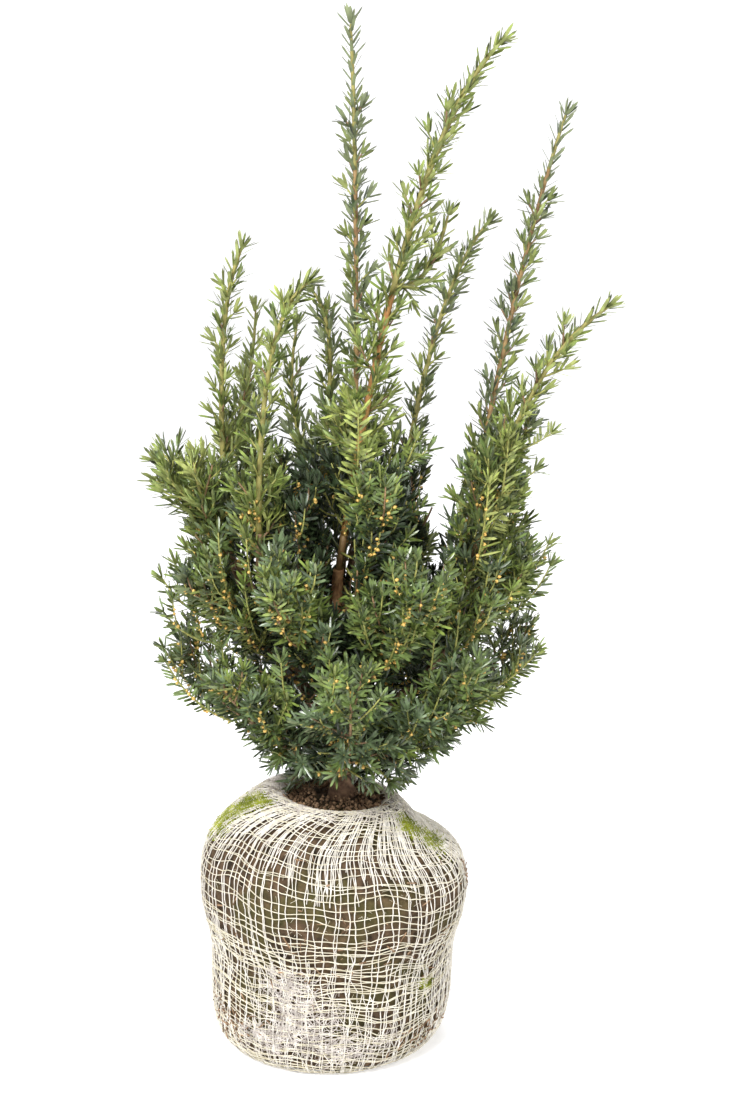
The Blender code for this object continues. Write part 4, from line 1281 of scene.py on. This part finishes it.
def build_twigs(axes, nodes):
    heaps = {bark: TubeHeap() for bark in TWIG_COLOURS}
    for axis in axes:
        if axis.order == 0 and axis.leader:
            bands = stem_bands(axis)
        else:
            bands = [(axis.bark, axis.points, np.linspace(*axis.radii, len(axis.points)))]
        for bark, points, radii in bands:
            heaps[bark].add(*tube(points, radii, 8 if axis.order == 0 else 4))
    for bark, heap in heaps.items():
        dark, light = TWIG_COLOURS[bark]
        material = mottled(f"twig_{bark}", dark, light, 160, 0.6, 0.4, 0.0004)
        heap.piece(f"twigs_{bark}", [material], "bark", nodes)


def build_needles(axes, space, nodes):
    rows = {tint: [] for tint in TINTS}
    chance = random.Random("needles")
    for axis in axes:
        rows[axis.tint] += needles_on(axis, chance)
    total = 0
    for tint, found in rows.items():
        found = np.array(found)
        middles = found[:, 0:3] + found[:, 3:6] * found[:, 9:10] * 0.55
        tips = found[:, 0:3] + found[:, 3:6] * found[:, 9:10]
        clear = np.concatenate([space.off_limbs(part, 0.0) for part in np.array_split(middles, 20)])
        clear &= np.concatenate([space.off_limbs(part, 0.0) for part in np.array_split(tips, 20)])
        clear &= tips[:, 2] > fringe_height(tips) - NEEDLES_BELOW_FRINGE
        clear &= ~in_an_opening(middles)
        found = found[clear]
        total += len(found)
        materials = needle_materials(tint)
        for number, part in enumerate(np.array_split(found, math.ceil(len(found) / MOST_NEEDLES))):
            vertices, upper, lower = needle_meshes(part)
            heap = Heap()
            heap.add(vertices, upper, 0)
            heap.faces += lower.tolist()
            heap.slots.append(np.ones(len(lower)))
            slot = "young_needles" if tint in ("fresh", "lime") else "old_needles"
            heap.piece(f"needles_{tint}_{number + 1}", materials, slot, nodes)
    print("needles", total)


def build_buds(axes, nodes):
    heap = Heap()
    chance = random.Random("buds")
    for axis in axes:
        if chance.random() > FERTILE_TWIGS or (axis.order == 0 and axis.leader):
            continue
        length = length_of(axis.points)
        for index in range(round(length / BUD_SPACING)):
            share = (index + 0.5) * BUD_SPACING / length
            if share > 0.85 or chance.random() > BUD_CHANCE:
                continue
            point, tangent = along(axis.points, share)
            if not BUD_HEIGHTS[0] < point.z < BUD_HEIGHTS[1]:
                continue
            aim = tilted(tangent, math.radians(60), chance.uniform(0, 6.28))
            outward = Vector((point.x - CROWN_MIDDLE[0], point.y - CROWN_MIDDLE[1], 0.0)).normalized()
            aim = (aim + outward * BUDS_OUTWARD).normalized()
            vertices, faces = bud_mesh(point + aim * 0.0026, aim, BUD_RADIUS * chance.uniform(0.75, 1.2))
            heap.add(vertices, faces)
    print("buds", heap.count // 12)
    material = mottled("bud", (0.50, 0.28, 0.055), (0.82, 0.58, 0.17), 420, 0.5, 0.5, 0.0003)
    heap.piece("buds", [material], "young_needles", nodes)


def build_root_ball():
    soil = TubeHeap()
    soil.add(*soil_mesh())
    soil.piece("soil", [soil_material()], "netted_soil", ["root_ball"])
    chance = random.Random("netting")
    white = mottled("cotton_white", (0.52, 0.48, 0.41), (0.80, 0.77, 0.71), 130, 0.9, 0.6, 0.0005, 6.0, 0.2)
    cream = mottled("cotton_cream", (0.50, 0.45, 0.31), (0.80, 0.75, 0.62), 90, 0.9, 0.6, 0.0005, 6.0, 0.2)
    net_uprights(chance).piece("net_uprights", [white], "netted_soil", ["root_ball"])
    net_hoops(chance).piece("net_hoops", [cream], "netted_soil", ["root_ball"])
    felted = mottled("cotton_felted", (0.33, 0.285, 0.250), (0.82, 0.76, 0.71), 110, 0.9, 0.6, 0.0005, 6.0, 0.2)
    matted_strands().piece("net_matted", [felted], "netted_soil", ["root_ball"])
    frayed_fibres().piece("net_frayed", [cream], "netted_soil", ["root_ball"])
    # Light brown for the crumbs and rootlets: their own drier tone, and on the crumbs partly painted light on the soil
    # in the neck, which the foliage shades.
    earthy = mottled("crumbs", (0.100, 0.058, 0.032), (0.400, 0.260, 0.155), 160, 0.95, 0.5, 0.0005, 6.0, 0.2)
    soil_crumbs().piece("soil_crumbs", [earthy], "netted_soil", ["root_ball"])
    rootlets().piece("rootlets", [earthy], "netted_soil", ["root_ball"])
    green = mottled("moss", (0.150, 0.185, 0.012), (0.430, 0.470, 0.050), 90, 0.8, 0.5, 0.0005)
    moss().piece("moss", [green], "netted_soil", ["root_ball"], smooth=False)


FLOOR_RADIUS = 3.2
FLOOR_RISE = 1.6
FLOOR_GLOW = 0.36


def build_stage():
    """A pale floor that curves up all round into a low wall."""
    heap = Heap()
    profile = [(0.0, 0.0), (1.0, 0.0), (2.2, 0.0), (FLOOR_RADIUS, 0.0)]
    for step in range(1, 13):
        turn = math.pi / 2 * step / 12
        profile.append((FLOOR_RADIUS + FLOOR_RISE * math.sin(turn), FLOOR_RISE * (1 - math.cos(turn))))
    profile.append((FLOOR_RADIUS + FLOOR_RISE, 2.6))
    sides = 64
    vertices = [(0.0, 0.0, 0.0)]
    for radius, height in profile[1:]:
        for corner in range(sides):
            turn = 2 * math.pi * corner / sides
            vertices.append((radius * math.cos(turn), radius * math.sin(turn), height))
    faces = [[0, 1 + corner, 1 + (corner + 1) % sides] for corner in range(sides)]
    for ring in range(len(profile) - 2):
        for corner in range(sides):
            low, low_next = 1 + ring * sides + corner, 1 + ring * sides + (corner + 1) % sides
            faces.append([low, low + sides, low_next + sides, low_next])
    mesh = bpy.data.meshes.new("floor")
    mesh.from_pydata(vertices, [], faces)
    mesh.shade_smooth()
    pale = mottled("floor", (0.86, 0.86, 0.87), (0.89, 0.89, 0.90), 3, 0.7, 0.02, 0.001)
    shader = pale.node_tree.nodes["Principled BSDF"]
    shader.inputs["Emission Color"].default_value = (1.0, 1.0, 1.0, 1.0)
    shader.inputs["Emission Strength"].default_value = FLOOR_GLOW
    mesh.materials.append(pale)
    floor = bpy.data.objects.new("floor", mesh)
    bpy.context.scene.collection.objects.link(floor)


LIGHTS = (
    ("key_light", (-0.9, -1.8, 2.2), 0.9, 108),
    ("fill_light", (1.7, -1.3, 1.6), 1.2, 22),
    ("back_light", (0.3, 1.8, 2.2), 1.4, 27),
)


def build_lights():
    for name, place, size, power in LIGHTS:
        light = bpy.data.lights.new(name, "AREA")
        light.size = size
        light.energy = power
        lamp = bpy.data.objects.new(name, light)
        lamp.location = place
        lamp.rotation_euler = (Vector((0, 0, 0.35)) - Vector(place)).to_track_quat("-Z", "Y").to_euler()
        bpy.context.scene.collection.objects.link(lamp)
    world = bpy.data.worlds.new("studio")
    world.use_nodes = True
    world.node_tree.nodes["Background"].inputs["Color"].default_value = (1.0, 1.0, 1.0, 1.0)
    world.node_tree.nodes["Background"].inputs["Strength"].default_value = 0.23
    bpy.context.scene.world = world


def build_camera():
    data = bpy.data.cameras.new("camera")
    data.lens = CAMERA_LENS
    data.sensor_width = 36.0
    camera = bpy.data.objects.new("camera", data)
    camera.location = CAMERA_PLACE
    camera.rotation_euler = (math.pi / 2 - CAMERA_PITCH, 0.0, 0.0)
    bpy.context.scene.collection.objects.link(camera)
    bpy.context.scene.camera = camera
    bpy.context.scene.view_settings.view_transform = "Standard"


def build():
    limbs = build_limbs()
    masses = [MAIN_LEADER, *LEADERS, *tier_masses()]
    for mass in masses:
        lay_out_stems(mass)
    space = Space(masses, limbs)
    axes = []
    for mass in masses:
        axes += grow_mass(mass, space)
    nodes = [mass.name + "_foliage" for mass in masses]
    build_twigs(axes, nodes)
    build_needles(axes, space, nodes)
    build_buds(axes, nodes)
    build_root_ball()
    build_stage()
    build_lights()
    build_camera()


build()
